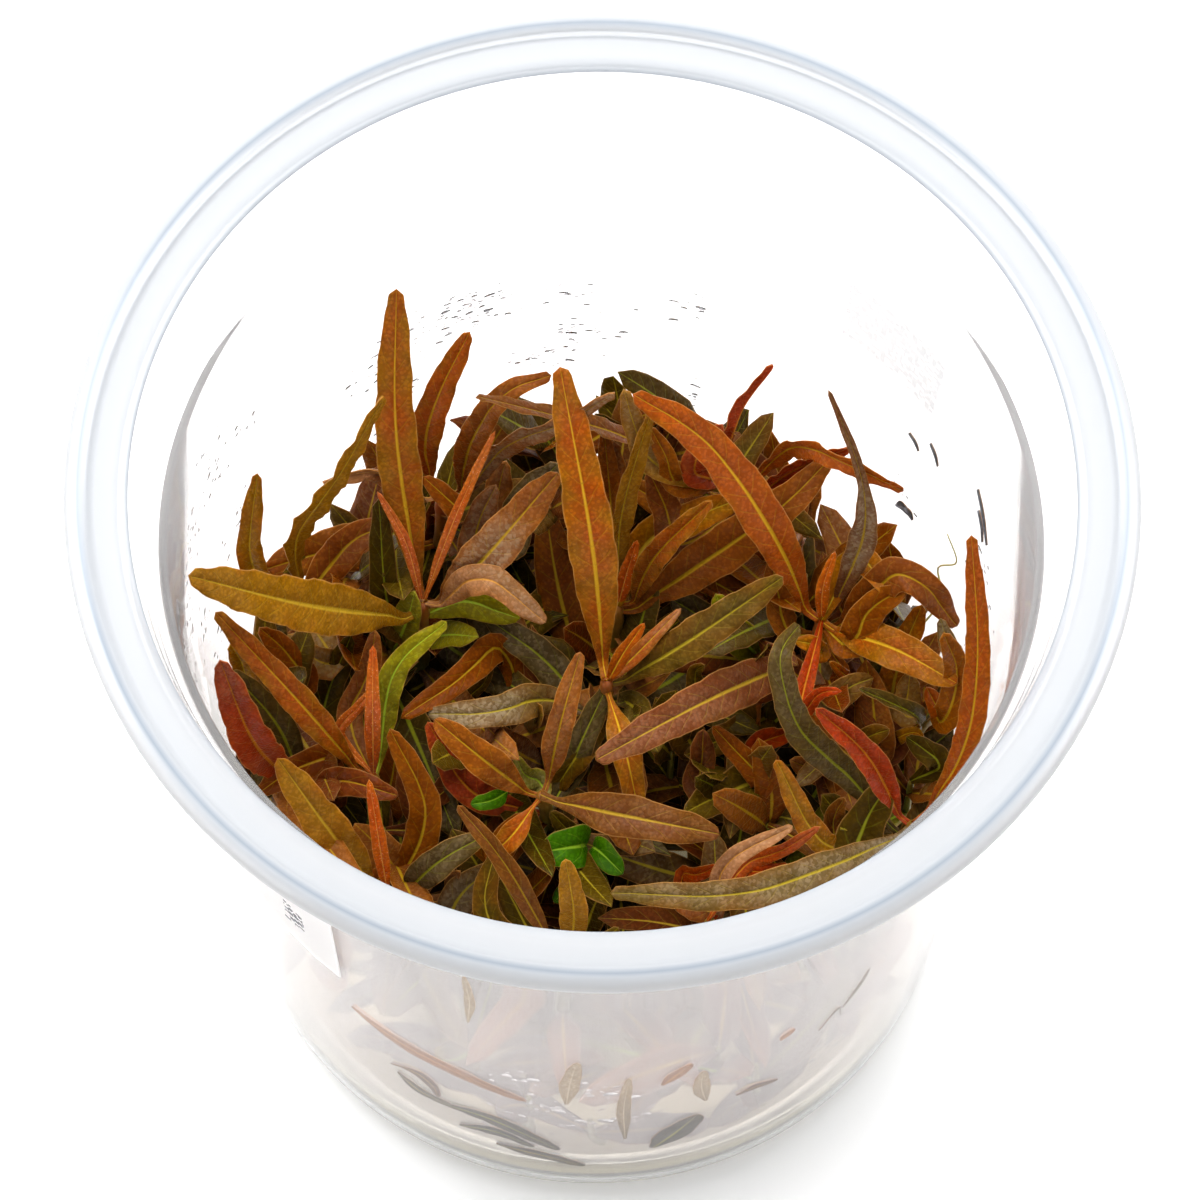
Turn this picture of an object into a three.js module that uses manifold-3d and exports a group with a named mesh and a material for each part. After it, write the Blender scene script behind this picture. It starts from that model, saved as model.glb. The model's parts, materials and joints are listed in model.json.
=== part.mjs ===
// Tissue-cultured Hygrophila with narrow copper-brown leaves, growing on nutrient jelly in a clear cup.
// Millimetres, +Z up, origin at the middle of the cup's foot. The shoots lean back, away from -Y.

import * as THREE from 'three';
import { mergeVertices } from 'three/addons/utils/BufferGeometryUtils.js';
import Module from 'manifold-3d';

const wasm = await Module();
wasm.setup();

// Driving dimensions of the cup
const RIM_RADIUS = 55;
const RIM_HEIGHT = 108;
const RIM_EDGE = 1.4;
const MOUTH_RADIUS = 48.5;
const WALL = 0.9;
const FOOT_CORNER = 8.2;
const BODY_FOOT_RADIUS = 42.1;
const BODY_TOP_RADIUS = 46.1;
const BODY_TOP = 96;
const CUP_SIDES = 48;

// Driving dimensions of what is in and on the cup
const JELLY_TOP = 11;
const STICKER_THICK = 0.2;
const STEM_RADIUS = 1;
const LEAF_THICK = 0.6;
const GAP = 0.3;

// The direction that the faces of the leaves turn to, and in which a leaf is raised over its neighbours
const LIGHT = new THREE.Vector3(0, -0.42, 0.91).normalize();

// Leaf width along its length, as parts of the full width: a narrow stalk, a lance-shaped blade, a blunt tip
const OUTLINE = [[0, 0.22], [0.1, 0.42], [0.24, 0.8], [0.4, 1], [0.57, 0.97], [0.72, 0.8], [0.86, 0.56], [0.955, 0.32]];

const TONES = {
  amber: 0x9c4f10, umber: 0x6e4217, gold: 0x8d6a12, olive: 0x5c5a1c, forest: 0x2f3d14,
  crimson: 0x8e2b10, plum: 0x6d4030, rose: 0xa5695c, ochre: 0x75510f, lime: 0x4f8a12, stem: 0x6f6a1c,
};

// Each clump of stems stands on the jelly at its foot and forks into shoots, each with its crown
const CLUMPS = {
  left_back_stems: { foot: [-23, 16], shoots: { a: [-20, 12, 50], k: [-18, 24, 54], q: [-34, 13, 46] } },
  middle_stems: { foot: [0, 5], shoots: { b: [1, 3, 50], p: [2, 14, 46], e: [-6, -9, 45] } },
  right_back_stems: { foot: [25, 13], shoots: { d: [25, 11, 50], m: [14, 24, 58], l: [38, 3, 43] } },
  left_front_stems: { foot: [-27, -9], shoots: { g: [-25, -6, 42], s: [-33, -5, 40], h: [-23, -18, 36] } },
  right_front_stems: { foot: [27, -14], shoots: { f: [36, -10, 42], j: [13, -21, 38] } },
  front_stem: { foot: [-3, -28], shoots: { n: [-3, -26, 40] } },
};

// Small leaves joined to the stem that they grow from: shoot, way up the shoot from 0 to 1, points along the
// midrib and full width. The first nine are the young leaves at the crowns, the others low leaves in the shade.
const SMALL_LEAVES = [
  ['a', 0.985, [[-22, 16, 58], [-25, 19, 64]], 1.3],
  ['a', 0.985, [[-16, 18, 62], [-12, 23, 72]], 1.4],
  ['b', 0.985, [[3, 5, 54], [5, 7, 57]], 1.8],
  ['b', 0.985, [[5, 5, 55], [9, 8, 59]], 1.8],
  ['p', 0.985, [[3, 16, 51], [4, 18, 55]], 1.8],
  ['d', 0.985, [[25, 13, 56], [26, 15, 60]], 1.6],
  ['g', 0.985, [[-25, -2, 52], [-25, 3, 58]], 1.9],
  ['h', 0.985, [[-24, -15, 46], [-25, -11, 53]], 1.8],
  ['n', 0.985, [[0, -27, 43], [3, -25, 46]], 2.4],
  ['a', 0.5, [[-24, 13, 46], [-25, 20, 60]], 3.9],
  ['s', 0.75, [[-31, 4, 39], [-28, 9, 47]], 4],
  ['k', 0.75, [[-14, 23, 46], [-11, 27, 56]], 4.2],
  ['b', 0.75, [[-1, -1, 42], [-5, -5, 35]], 3.5],
  ['n', 0.7, [[-12, -20, 38], [-11, -15, 43]], 3.6],
  ['h', 0.8, [[-19, -10, 42], [-23, -4, 51]], 4],
  ['d', 0.5, [[18, 4, 36], [10, -1, 38]], 4.4],
  ['l', 0.95, [[40, 5, 49], [38, 9, 56]], 2.8],
  ['m', 0.6, [[8, 26, 46], [2, 28, 50]], 4.2],
];

// Each leaf: name, tone, shoot, millimetres below the crown, points along the midrib from stalk to tip, full
// width, turn and fold. Lower leaves come first, so that those over them are raised clear of them.
const LEAVES = [
  ['lower_back_leaf', 'umber', 'k', 12, [[-30, 20, 46], [-38, 16, 49]], 5.6, 0, 12],
  ['deep_left_leaf', 'forest', 's', 4, [[-36, -1, 44], [-41, 2, 52]], 4.2, 0, 12],
  ['deep_middle_leaf', 'forest', 'b', 14, [[-6, 9, 41], [-13, 13, 44]], 4.2, 0, 12],
  ['rust_leaf', 'crimson', 'e', 11, [[-14, -6, 38], [-19, -1, 46]], 4, 0, 25],
  ['chestnut_back_leaf', 'umber', 'p', 2, [[1, 22, 54], [0, 26, 66]], 3.2, 0, 15],
  ['front_left_dark_leaf', 'forest', 'h', 2, [[-17, -16, 42], [-12, -14, 45]], 3.9, 0, 15],
  ['left_ochre_leaf', 'ochre', 's', 3, [[-28, -8, 45], [-22, -10, 46]], 3.6, 0, 15],
  ['right_forest_leaf', 'forest', 'l', 0, [[35, 0, 50], [29, 1, 54]], 2.6, 30, 40],
  ['short_gold_leaf', 'gold', 'f', 8, [[26, -12, 40], [20, -7, 52]], 3.1, 0, 15],
  ['grey_arching_leaf', 'olive', 'b', 10, [[-6, 3, 44], [-12, -0.5, 48], [-19, 0, 46]], 4, 0, 8],
  ['far_left_leaf', 'gold', 'q', 0, [[-39, 13, 58], [-38, 18, 70]], 3.1, 0, 15],
  ['left_red_leaf', 'crimson', 's', 0, [[-38, -7, 54], [-41, -4, 69]], 5, 0, 20],
  ['yellow_strap_leaf', 'gold', 'q', 1, [[-34, 15, 60], [-29, 17, 72], [-24, 22, 82]], 3.4, 55, 10],
  ['back_left_amber_leaf', 'amber', 'k', 0, [[-20, 26, 62], [-18.5, 28, 70], [-15, 31, 80]], 3.7, 0, 15],
  ['back_left_arching_leaf', 'umber', 'k', 1, [[-14.5, 25, 66], [-10.5, 26, 76], [-6, 28, 76]], 3.4, 0, 15],
  ['back_left_rose_leaf', 'rose', 'k', 1, [[-26, 21, 65], [-31, 19, 66]], 2.8, -50, 30],
  ['back_red_leaf', 'crimson', 'm', 0, [[13.5, 24, 70], [15, 25, 77], [18, 26, 84]], 3, 0, 62],
  ['back_crossing_leaf', 'plum', 'm', 2, [[3, 27, 62], [-6, 26, 70], [-14, 25, 76]], 2.6, 40, 20],
  ['back_right_red_leaf', 'crimson', 'm', 6, [[20, 25, 58], [27, 24, 68]], 3.2, 40, 25],
  ['back_right_amber_leaf', 'amber', 'm', 1, [[21, 24, 68], [27, 19, 74], [33, 18, 70]], 2.8, 40, 25],
  ['back_left_crossing_leaf', 'umber', 'k', 2, [[-11, 25, 64], [-5, 24, 72], [1, 25, 78]], 2.8, 40, 15],
  ['right_arching_leaf', 'umber', 'd', 2, [[34, 12, 61], [40, 9, 54]], 4.2, 0, 12],
  ['right_tall_leaf', 'plum', 'd', 0, [[29, 16, 64], [28, 19, 72], [24, 24, 82]], 3.5, 0, 15],
  ['back_gold_leaf', 'gold', 'p', 0, [[2, 19, 58], [5, 25, 74]], 2.9, 25, 25],
  ['back_broad_leaf', 'umber', 'p', 1.5, [[11, 16, 53], [20, 19, 63], [25, 23, 67]], 5.3, 0, 10],
  ['back_orange_leaf', 'amber', 'p', 0.5, [[6, 16, 55], [12, 18, 66]], 3.4, 0, 30],
  ['green_leaf', 'lime', 'g', 1, [[-22.5, 3, 52], [-17, 7, 56]], 3.2, 0, 15],
  ['left_amber_leaf', 'amber', 'g', 0, [[-34, -2, 56], [-42, 3, 66]], 3.6, 0, 15],
  ['left_gold_leaf', 'gold', 'a', 2.5, [[-32, 5, 64], [-44, 1, 80]], 6, 0, 8],
  ['left_broad_leaf', 'umber', 'a', 1.5, [[-13, 14, 58], [-5, 20, 68]], 5.2, 0, 8],
  ['left_tall_leaf', 'amber', 'a', 0, [[-23, 24, 70], [-23, 34, 84]], 4.8, 0, 12],
  ['left_rose_leaf', 'rose', 'a', 0.5, [[-13, 12, 57], [-6, 9, 52]], 3.6, 0, 10],
  ['middle_falling_leaf', 'amber', 'b', 2, [[3, -4, 49], [5, -10, 43]], 3.4, 0, 12],
  ['middle_olive_leaf', 'olive', 'b', 1, [[10, 5, 57], [20, 9, 66]], 4.4, 0, 12],
  ['middle_tall_leaf', 'amber', 'b', 0, [[-1, 13, 64], [-5, 27, 80]], 5.3, 0, 10],
  ['right_long_leaf', 'amber', 'd', 0, [[19, 16, 62], [11, 22, 73], [3, 24, 80]], 5, 0, 14],
  ['right_orange_leaf', 'amber', 'd', 0.5, [[33, 6, 54], [40, 2, 54]], 4.6, 0, 12],
  ['forest_strap_leaf', 'forest', 'f', 4, [[29, -6, 44], [22, -4, 56], [20, 1, 64], [22, 5, 62]], 3.8, 0, 12],
  ['plum_leaf', 'plum', 'd', 8, [[12, -1, 54], [0, -10, 58]], 5.1, 0, 10],
  ['front_amber_leaf', 'amber', 'e', 1, [[-9, -13, 43], [-12, -15, 40]], 2.9, 0, 15],
  ['front_left_leaf', 'umber', 'e', 1, [[-13, -7, 51], [-18, -4, 54]], 4, 0, 12],
  ['front_upright_leaf', 'umber', 'e', 0, [[-4, -4, 54], [-2, 2, 60]], 3.2, 0, 15],
  ['front_plum_leaf', 'plum', 'e', 0.5, [[4, -13, 49], [14, -14, 47]], 4.8, 0, 8],
  ['front_gold_leaf', 'gold', 'h', 0, [[-30, -14, 47], [-35, -10, 56]], 4.8, 0, 12],
  ['front_brown_leaf', 'plum', 'n', 1, [[-10, -19, 50], [-15, -15, 56]], 2.7, 0, 25],
  ['front_middle_leaf', 'gold', 'n', 0, [[-2, -24, 48], [-3, -21, 56]], 3.3, 0, 15],
  ['front_right_leaf', 'rose', 'j', 0, [[15, -17, 46], [22, -14, 50]], 2.6, 0, 25],
  ['right_red_leaf', 'crimson', 'f', 0.5, [[30, -6, 52], [24, -4, 60]], 4, 0, 35],
  ['front_long_leaf', 'olive', 'f', 1, [[26, -18, 48], [16, -23, 52], [2, -24, 54]], 4, 0, 10],
  ['right_front_tall_leaf', 'amber', 'f', 0, [[41, -5, 54], [41.5, 1, 64], [40, 10, 76]], 3.2, 0, 15],
];

const v = (x, y, z) => new THREE.Vector3(x, y, z);
const p2 = (radius, z) => new THREE.Vector2(radius, z);
const radians = THREE.MathUtils.degToRad;

// Outer radius of the cup's tapered body at height z
const bodyRadius = (z) => THREE.MathUtils.mapLinear(z, FOOT_CORNER, BODY_TOP, BODY_FOOT_RADIUS, BODY_TOP_RADIUS);

// Part of a circle in a lathe profile, about the point at that radius and height, between two angles in degrees
function arc(radius, z, r, from, to, steps) {
  return Array.from({ length: steps + 1 }, (_, i) => {
    const t = radians(from + ((to - from) * i) / steps);
    return p2(radius + r * Math.cos(t), z + r * Math.sin(t));
  });
}

// A closed mesh skinned over rings of points, with a flat cap at its start, and at its end a point or a cap
function loft(rings, tip) {
  const n = rings[0].length;
  const points = rings.flat();
  const faces = [];
  for (let i = 0; i < rings.length - 1; i++) {
    for (let j = 0; j < n; j++) {
      const a = i * n + j;
      const b = i * n + ((j + 1) % n);
      faces.push([a, b, b + n], [a, b + n, a + n]);
    }
  }
  for (let j = 2; j < n; j++) faces.push([0, j, j - 1]);
  const last = (rings.length - 1) * n;
  if (tip) {
    points.push(tip);
    for (let j = 0; j < n; j++) faces.push([last + j, last + ((j + 1) % n), points.length - 1]);
  } else {
    for (let j = 2; j < n; j++) faces.push([last, last + j - 1, last + j]);
  }
  const geometry = new THREE.BufferGeometry();
  geometry.setAttribute('position', new THREE.Float32BufferAttribute(points.flatMap((q) => q.toArray()), 3));
  geometry.setIndex(faces.flat());
  return geometry;
}

// The geometry as a solid that can be joined and tested for overlaps
function solid(geometry) {
  return new wasm.Manifold(new wasm.Mesh({
    numProp: 3,
    vertProperties: new Float32Array(geometry.attributes.position.array),
    triVerts: new Uint32Array(geometry.index.array),
  }));
}

function geometryOf(manifold) {
  const mesh = manifold.getMesh();
  const geometry = new THREE.BufferGeometry();
  geometry.setAttribute('position', new THREE.Float32BufferAttribute(mesh.vertProperties, 3));
  geometry.setIndex(Array.from(mesh.triVerts));
  return geometry;
}

// A turned profile, with its shared vertices merged and without the empty triangles at the axis
function turned(profile) {
  const geometry = new THREE.LatheGeometry(profile, CUP_SIDES);
  geometry.deleteAttribute('normal');
  geometry.deleteAttribute('uv');
  const merged = mergeVertices(geometry.rotateX(Math.PI / 2), 1e-4);
  const index = merged.index.array;
  const kept = [];
  for (let i = 0; i < index.length; i += 3) {
    const [a, b, c] = index.slice(i, i + 3);
    if (a !== b && b !== c && c !== a) kept.push(a, b, c);
  }
  merged.setIndex(kept);
  return merged;
}

const group = new THREE.Group();

function add(name, geometry, material) {
  const mesh = new THREE.Mesh(geometry, new THREE.MeshStandardMaterial({ roughness: 0.45, ...material }));
  mesh.name = name;
  group.add(mesh);
}

// Cup: one wall that turns out in a low step and a flaring collar to a wide rim with a rolled edge
function cup() {
  const centre = BODY_FOOT_RADIUS - FOOT_CORNER;
  return turned([
    p2(0, 0),
    ...arc(centre, FOOT_CORNER, FOOT_CORNER, -90, 0, 5),
    p2(BODY_TOP_RADIUS, BODY_TOP),
    p2(BODY_TOP_RADIUS + 1.4, BODY_TOP + 0.7),
    p2(MOUTH_RADIUS + WALL, RIM_HEIGHT - 1.7),
    ...arc(RIM_RADIUS - RIM_EDGE, RIM_HEIGHT - 0.3, RIM_EDGE, -90, 130, 6),
    p2(RIM_RADIUS - 2.9, RIM_HEIGHT),
    p2(MOUTH_RADIUS + 0.5, RIM_HEIGHT),
    p2(MOUTH_RADIUS, RIM_HEIGHT - 0.5),
    p2(BODY_TOP_RADIUS + 0.5, BODY_TOP + 0.9),
    p2(BODY_TOP_RADIUS - WALL, BODY_TOP + 0.5),
    ...arc(centre, FOOT_CORNER, FOOT_CORNER - WALL, 0, -90, 5),
    p2(0, WALL),
  ]);
}

// Jelly: a shallow disc that fills the bottom of the cup, a little higher where it meets the wall
function jelly() {
  const corner = FOOT_CORNER - WALL - GAP;
  return turned([
    p2(0, FOOT_CORNER - corner),
    ...arc(BODY_FOOT_RADIUS - FOOT_CORNER, FOOT_CORNER, corner, -90, 0, 4),
    p2(bodyRadius(JELLY_TOP) - WALL - GAP, JELLY_TOP + 0.8),
    p2(BODY_FOOT_RADIUS - 4, JELLY_TOP),
    p2(0, JELLY_TOP),
  ]);
}

// Sticker: a thin curved plate on the outside of the body, between two azimuths in degrees and two heights
function sticker(from, to, low, high, steps) {
  const corner = (azimuth, z, out) => {
    const r = bodyRadius(z) + out;
    return v(r * Math.cos(radians(azimuth)), r * Math.sin(radians(azimuth)), z);
  };
  return loft(Array.from({ length: steps + 1 }, (_, i) => {
    const azimuth = from + ((to - from) * i) / steps;
    const outside = GAP + STICKER_THICK;
    return [corner(azimuth, low, GAP), corner(azimuth, high, GAP), corner(azimuth, high, outside), corner(azimuth, low, outside)];
  }));
}

// A ring of points that would reach the wall is moved towards the cup's axis until it clears it
function pressedInside(ring) {
  const wall = (z) => bodyRadius(z) * Math.cos(Math.PI / CUP_SIDES) - WALL - GAP;
  const room = Math.min(...ring.map((q) => wall(q.z) - Math.hypot(q.x, q.y)));
  if (room >= 0) return ring;
  const centre = ring.reduce((sum, q) => sum.add(q), v(0, 0, 0)).divideScalar(ring.length);
  const outward = v(centre.x, centre.y, 0).normalize();
  return ring.map((q) => q.clone().addScaledVector(outward, room));
}

// Leaf: rings of upper side, right edge, under side and left edge along the midrib. Its face looks to the light,
// turned about the midrib by turn degrees, and its halves are folded up along the midrib by fold degrees.
function leafBlade(points, wide, turn, fold) {
  const midrib = new THREE.CatmullRomCurve3(points, false, 'centripetal');
  const rings = OUTLINE.map(([u, part]) => {
    const centre = midrib.getPointAt(u);
    const along = midrib.getTangentAt(u);
    const side = along.clone().cross(LIGHT).normalize().applyAxisAngle(along, radians(turn));
    const face = side.clone().cross(along);
    const half = (wide / 2) * part;
    const thick = LEAF_THICK * Math.sqrt(Math.min(1, half));
    const at = (across, up) => centre.clone().addScaledVector(side, across).addScaledVector(face, up);
    const across = half * Math.cos(radians(fold));
    const up = half * Math.sin(radians(fold));
    return pressedInside([at(0, 0.3 * thick), at(across, up), at(0, -0.7 * thick), at(-across, up)]);
  });
  return loft(rings, pressedInside([points[points.length - 1]])[0]);
}

const placed = [];
const shootPaths = {};

// Stems: tubes from the clump's foot to each crown, joined with the small leaves that they carry
function stems(name, foot, shoots) {
  const parts = Object.entries(shoots).map(([shoot, [x, y, z]]) => {
    const start = v(foot[0], foot[1], JELLY_TOP + 2 * GAP);
    const bend = start.clone().lerp(v(x, y, z), 0.45).lerp(v(x, y, start.z), 0.3);
    const path = new THREE.CatmullRomCurve3([start, bend, v(x, y, z)]);
    shootPaths[shoot] = path;
    return solid(loft([0, 0.2, 0.4, 0.6, 0.8, 1].map((t) => {
      const radius = STEM_RADIUS * (1.1 - 0.3 * t);
      return [0, 60, 120, 180, 240, 300].map((a) =>
        path.getPointAt(t).add(v(radius * Math.cos(radians(a)), radius * Math.sin(radians(a)), 0)));
    })));
  });
  for (const [shoot, way, points, wide] of SMALL_LEAVES) {
    if (!(shoot in shoots)) continue;
    const start = shootPaths[shoot].getPointAt(way);
    parts.push(solid(leafBlade([start, ...points.map((q) => v(...q))], wide, 0, 15)));
  }
  const clump = parts.reduce((joined, part) => joined.add(part));
  placed.push(clump);
  add(name, geometryOf(clump), { color: TONES.stem });
}

// Ways to free a leaf from its neighbours, nearest first: raised by lift, its stalk slid along the stem
const ADJUSTMENTS = [];
for (let lift = 0; lift <= 14; lift += 0.7) {
  for (const slide of [0, 1.2, -1.2, 2.4, -2.4]) ADJUSTMENTS.push([lift, slide]);
}

// A leaf stands a little off its stem, at the side that its blade goes to. It is raised, and its stalk slid along
// the stem, by the least that keeps it off everything that is already in place.
function leaf([name, tone, shoot, below, points, wide, turn, fold]) {
  const path = shootPaths[shoot];
  const length = path.getLength();
  for (const [lift, slide] of ADJUSTMENTS) {
    const start = path.getPointAt(THREE.MathUtils.clamp(1 - (below + slide) / length, 0.1, 0.99));
    const blade = points.map((q, i) => v(...q).addScaledVector(LIGHT, (lift * (i + 1)) / points.length));
    const outward = blade[0].clone().sub(start).setZ(0).normalize();
    const geometry = leafBlade([start.addScaledVector(outward, STEM_RADIUS + 3 * GAP), ...blade], wide, turn, fold);
    const shape = solid(geometry);
    if (placed.some((other) => shape.intersect(other).volume() > 0)) continue;
    placed.push(shape);
    add(name, geometry, { color: TONES[tone] });
    return;
  }
  throw new Error(`${name} has no free place`);
}

const cupGeometry = cup();
const jellyGeometry = jelly();
add('cup', cupGeometry, { color: 0xf2f5f8, roughness: 0.15, transparent: true, opacity: 0.25 });
add('jelly', jellyGeometry, { color: 0xd8d3b8, roughness: 0.1, transparent: true, opacity: 0.5 });
add('front_sticker', sticker(182, 233, 57, 92, 10), { color: 0xfafafa, roughness: 0.6 });
add('back_sticker', sticker(36, 54.5, 69, 89, 4), { color: 0xfafafa, roughness: 0.6 });
placed.push(solid(cupGeometry), solid(jellyGeometry));
for (const [name, { foot, shoots }] of Object.entries(CLUMPS)) stems(name, foot, shoots);
LEAVES.forEach(leaf);

export default group;
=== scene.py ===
import json
import math
import random
from itertools import combinations
import bmesh
import bpy
import numpy as np
from mathutils import Matrix, Vector


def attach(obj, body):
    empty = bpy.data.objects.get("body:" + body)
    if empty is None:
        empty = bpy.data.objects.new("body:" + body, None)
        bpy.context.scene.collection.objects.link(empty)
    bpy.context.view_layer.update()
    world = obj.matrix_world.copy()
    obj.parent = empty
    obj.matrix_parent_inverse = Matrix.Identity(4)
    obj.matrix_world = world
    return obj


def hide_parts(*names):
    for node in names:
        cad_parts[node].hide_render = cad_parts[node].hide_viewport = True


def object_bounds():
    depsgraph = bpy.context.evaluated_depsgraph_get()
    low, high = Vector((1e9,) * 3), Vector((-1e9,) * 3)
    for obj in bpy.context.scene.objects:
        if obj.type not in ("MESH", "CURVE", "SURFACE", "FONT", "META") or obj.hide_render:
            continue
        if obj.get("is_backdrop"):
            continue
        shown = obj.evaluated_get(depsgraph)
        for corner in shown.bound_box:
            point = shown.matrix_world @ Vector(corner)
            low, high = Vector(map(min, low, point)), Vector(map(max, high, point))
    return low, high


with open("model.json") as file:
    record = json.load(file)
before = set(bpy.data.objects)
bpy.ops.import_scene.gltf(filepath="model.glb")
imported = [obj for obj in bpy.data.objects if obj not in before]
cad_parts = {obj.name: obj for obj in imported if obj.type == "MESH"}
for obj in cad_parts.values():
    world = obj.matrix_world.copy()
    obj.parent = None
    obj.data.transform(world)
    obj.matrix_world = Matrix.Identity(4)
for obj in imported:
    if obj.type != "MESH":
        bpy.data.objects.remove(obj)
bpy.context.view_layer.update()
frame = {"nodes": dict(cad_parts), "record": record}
nodes = frame["nodes"]
MM = 0.001


# Floor, light and camera. The cup stands on a plain white floor that fills the view, in white light from all
# round, weaker from the front, and one broad soft light overhead. The camera looks down into the cup from
# the front.
FLOOR_HALF = 3.0
FLOOR_GREY = (0.97, 0.97, 0.97, 1)
FLOOR_GLOW = 0.2
WHITE = (1, 1, 1, 1)
DARK_SIDE = (0, -0.6, 0.8)
DARK_SIDE_EDGE = 0.4
DARK_SIDE_CORE = 0.9
BRIGHT_SKY = 1.6
DARK_SKY = 0.35
LAMP_SIZE = (1.0, 0.7)
LAMP_POWER = 15
LAMP_PLACE = (-0.1, 0.24, 0.95)
RIM_CENTRE = Vector((0, 0, 0.108))
CAMERA_DISTANCE = 0.55
CAMERA_ELEVATION = math.radians(64.75)
CAMERA_EXTRA_TILT = math.radians(1.24)
CAMERA_ROLL = math.radians(1.5)
PHOTO_SIZE = 1200
FOCAL_PIXELS = 5389
SENSOR_MM = 36

scene = bpy.context.scene
scene.view_settings.view_transform = "Standard"


def link(obj):
    scene.collection.objects.link(obj)
    return obj


def srgb(code):
    """A colour written as six hex digits, as the linear colour that a shader takes."""
    parts = [int(code[i:i + 2], 16) / 255 for i in (0, 2, 4)]
    return tuple(c / 12.92 if c <= 0.04045 else ((c + 0.055) / 1.055) ** 2.4 for c in parts) + (1.0,)


def feed(tree, node, values):
    """Sets inputs of a node, by name or number, to plain values, or links them from other nodes' outputs."""
    for name, value in values.items():
        if isinstance(value, bpy.types.NodeSocket):
            tree.links.new(value, node.inputs[name])
        else:
            node.inputs[name].default_value = value
    return node


def add(tree, kind, values=None, **settings):
    """A new node in a tree, with its settings and its inputs."""
    node = tree.nodes.new(kind)
    for name, value in settings.items():
        setattr(node, name, value)
    return feed(tree, node, values or {})


def worked(tree, operation, a, b=0.5):
    """What a Math node makes of one or two values."""
    return add(tree, "ShaderNodeMath", {0: a, 1: b}, operation=operation).outputs[0]


def ranged(tree, value, low, high, start=0, end=1, curve="LINEAR"):
    """A value that runs from start to end while another one runs from low to high."""
    limits = {"Value": value, "From Min": low, "From Max": high, "To Min": start, "To Max": end}
    return add(tree, "ShaderNodeMapRange", limits, interpolation_type=curve).outputs["Result"]


def new_material(name):
    """A new material, its tree of nodes and its Principled shader."""
    material = bpy.data.materials.new(name)
    material.use_nodes = True
    return material, material.node_tree, material.node_tree.nodes["Principled BSDF"]


floor_corners = [(x * FLOOR_HALF, y * FLOOR_HALF, 0) for x, y in ((-1, -1), (1, -1), (1, 1), (-1, 1))]
floor_mesh = bpy.data.meshes.new("floor")
floor_mesh.from_pydata(floor_corners, [], [(0, 1, 2, 3)])
floor = link(bpy.data.objects.new("floor", floor_mesh))
floor_paint, tree, shader = new_material("floor paint")
feed(tree, shader, {"Base Color": FLOOR_GREY, "Roughness": 0.9, "Emission Color": WHITE,
                    "Emission Strength": FLOOR_GLOW})
floor_mesh.materials.append(floor_paint)
floor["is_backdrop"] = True

world = bpy.data.worlds.new("studio")
world.use_nodes = True
tree = world.node_tree
sky_way = add(tree, "ShaderNodeTexCoord").outputs["Generated"]
to_front = add(tree, "ShaderNodeVectorMath", {0: sky_way, 1: DARK_SIDE}, operation="DOT_PRODUCT")
sky = ranged(tree, to_front.outputs["Value"], DARK_SIDE_EDGE, DARK_SIDE_CORE, BRIGHT_SKY, DARK_SKY,
             "SMOOTHSTEP")
feed(tree, tree.nodes["Background"], {"Color": WHITE, "Strength": sky})
scene.world = world

lamp_data = bpy.data.lights.new("soft light", "AREA")
lamp_data.shape = "RECTANGLE"
lamp_data.size, lamp_data.size_y = LAMP_SIZE
lamp_data.energy = LAMP_POWER
lamp = link(bpy.data.objects.new("soft light", lamp_data))
lamp.location = LAMP_PLACE
lamp.rotation_euler = (RIM_CENTRE - lamp.location).to_track_quat("-Z", "Y").to_euler()

camera_data = bpy.data.cameras.new("camera")
camera_data.sensor_width = SENSOR_MM
camera_data.lens = SENSOR_MM * FOCAL_PIXELS / PHOTO_SIZE
camera = link(bpy.data.objects.new("camera", camera_data))
look_down = CAMERA_ELEVATION + CAMERA_EXTRA_TILT
forward = Vector((0, math.cos(look_down), -math.sin(look_down)))
level_right = Vector((1, 0, 0))
level_up = level_right.cross(forward)
right = level_right * math.cos(CAMERA_ROLL) + level_up * math.sin(CAMERA_ROLL)
up = level_up * math.cos(CAMERA_ROLL) - level_right * math.sin(CAMERA_ROLL)
place = RIM_CENTRE + CAMERA_DISTANCE * Vector((0, -math.cos(CAMERA_ELEVATION), math.sin(CAMERA_ELEVATION)))
camera.matrix_world = Matrix((right, up, -forward)).transposed().to_4x4()
camera.location = place
scene.camera = camera


# Cup: one injection-moulded piece of clear plastic, thin in the body, with a low step and a collar that
# flares to a flat milky rim with a rolled edge. It is turned from its profile, and the rim has a milkier
# finish than the body, with darker grey-blue lines of painted shade at the mouth's edge and at the rolled
# edge.
CUP_SIDES = 160
RIM_RADIUS = 55
RIM_HEIGHT = 108
RIM_EDGE = 1.4
MOUTH_RADIUS = 48.5
WALL = 0.9
FOOT_CORNER = 8.2
BODY_FOOT_RADIUS = 42.1
BODY_TOP_RADIUS = 46.1
BODY_TOP = 96
BODY_LEVELS = (30, 52, 74)
WALL_SLOPE = 0.0456
MILKY_DEPTH = 1.6
STREAK_STRETCH = (260, 260, 24)
CLEAR_ROUGHNESS = 0.03
HAZY_ROUGHNESS = 0.1
WALL_TINT = ((0, "f8eed2"), (1.6, "f8f0da"), (3, "f6f5f0"), (8, "e9eaeb"), (12, "f0eeed"), (20, "f7f3f2"),
             (60, "f9f6f5"), (90, "f4f3f3"))
# Across the rim from 46 mm out: milky grey-white, with darker grey-blue lines at 48.4 and 53.5 mm painted in
# as shade at the mouth's edge and at the rolled edge.
RIM_TINT_AND_SHADE = ((46, "bec0c3"), (47.8, "a6acb4"), (48.4, "6a7481"), (48.8, "a9adb2"), (50.2, "b6b8bb"),
             (52.9, "b2b5b9"), (53.5, "86909c"), (53.9, "b0b4b9"), (54.4, "bdbfc2"), (55.1, "c3c5c7"))


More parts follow.
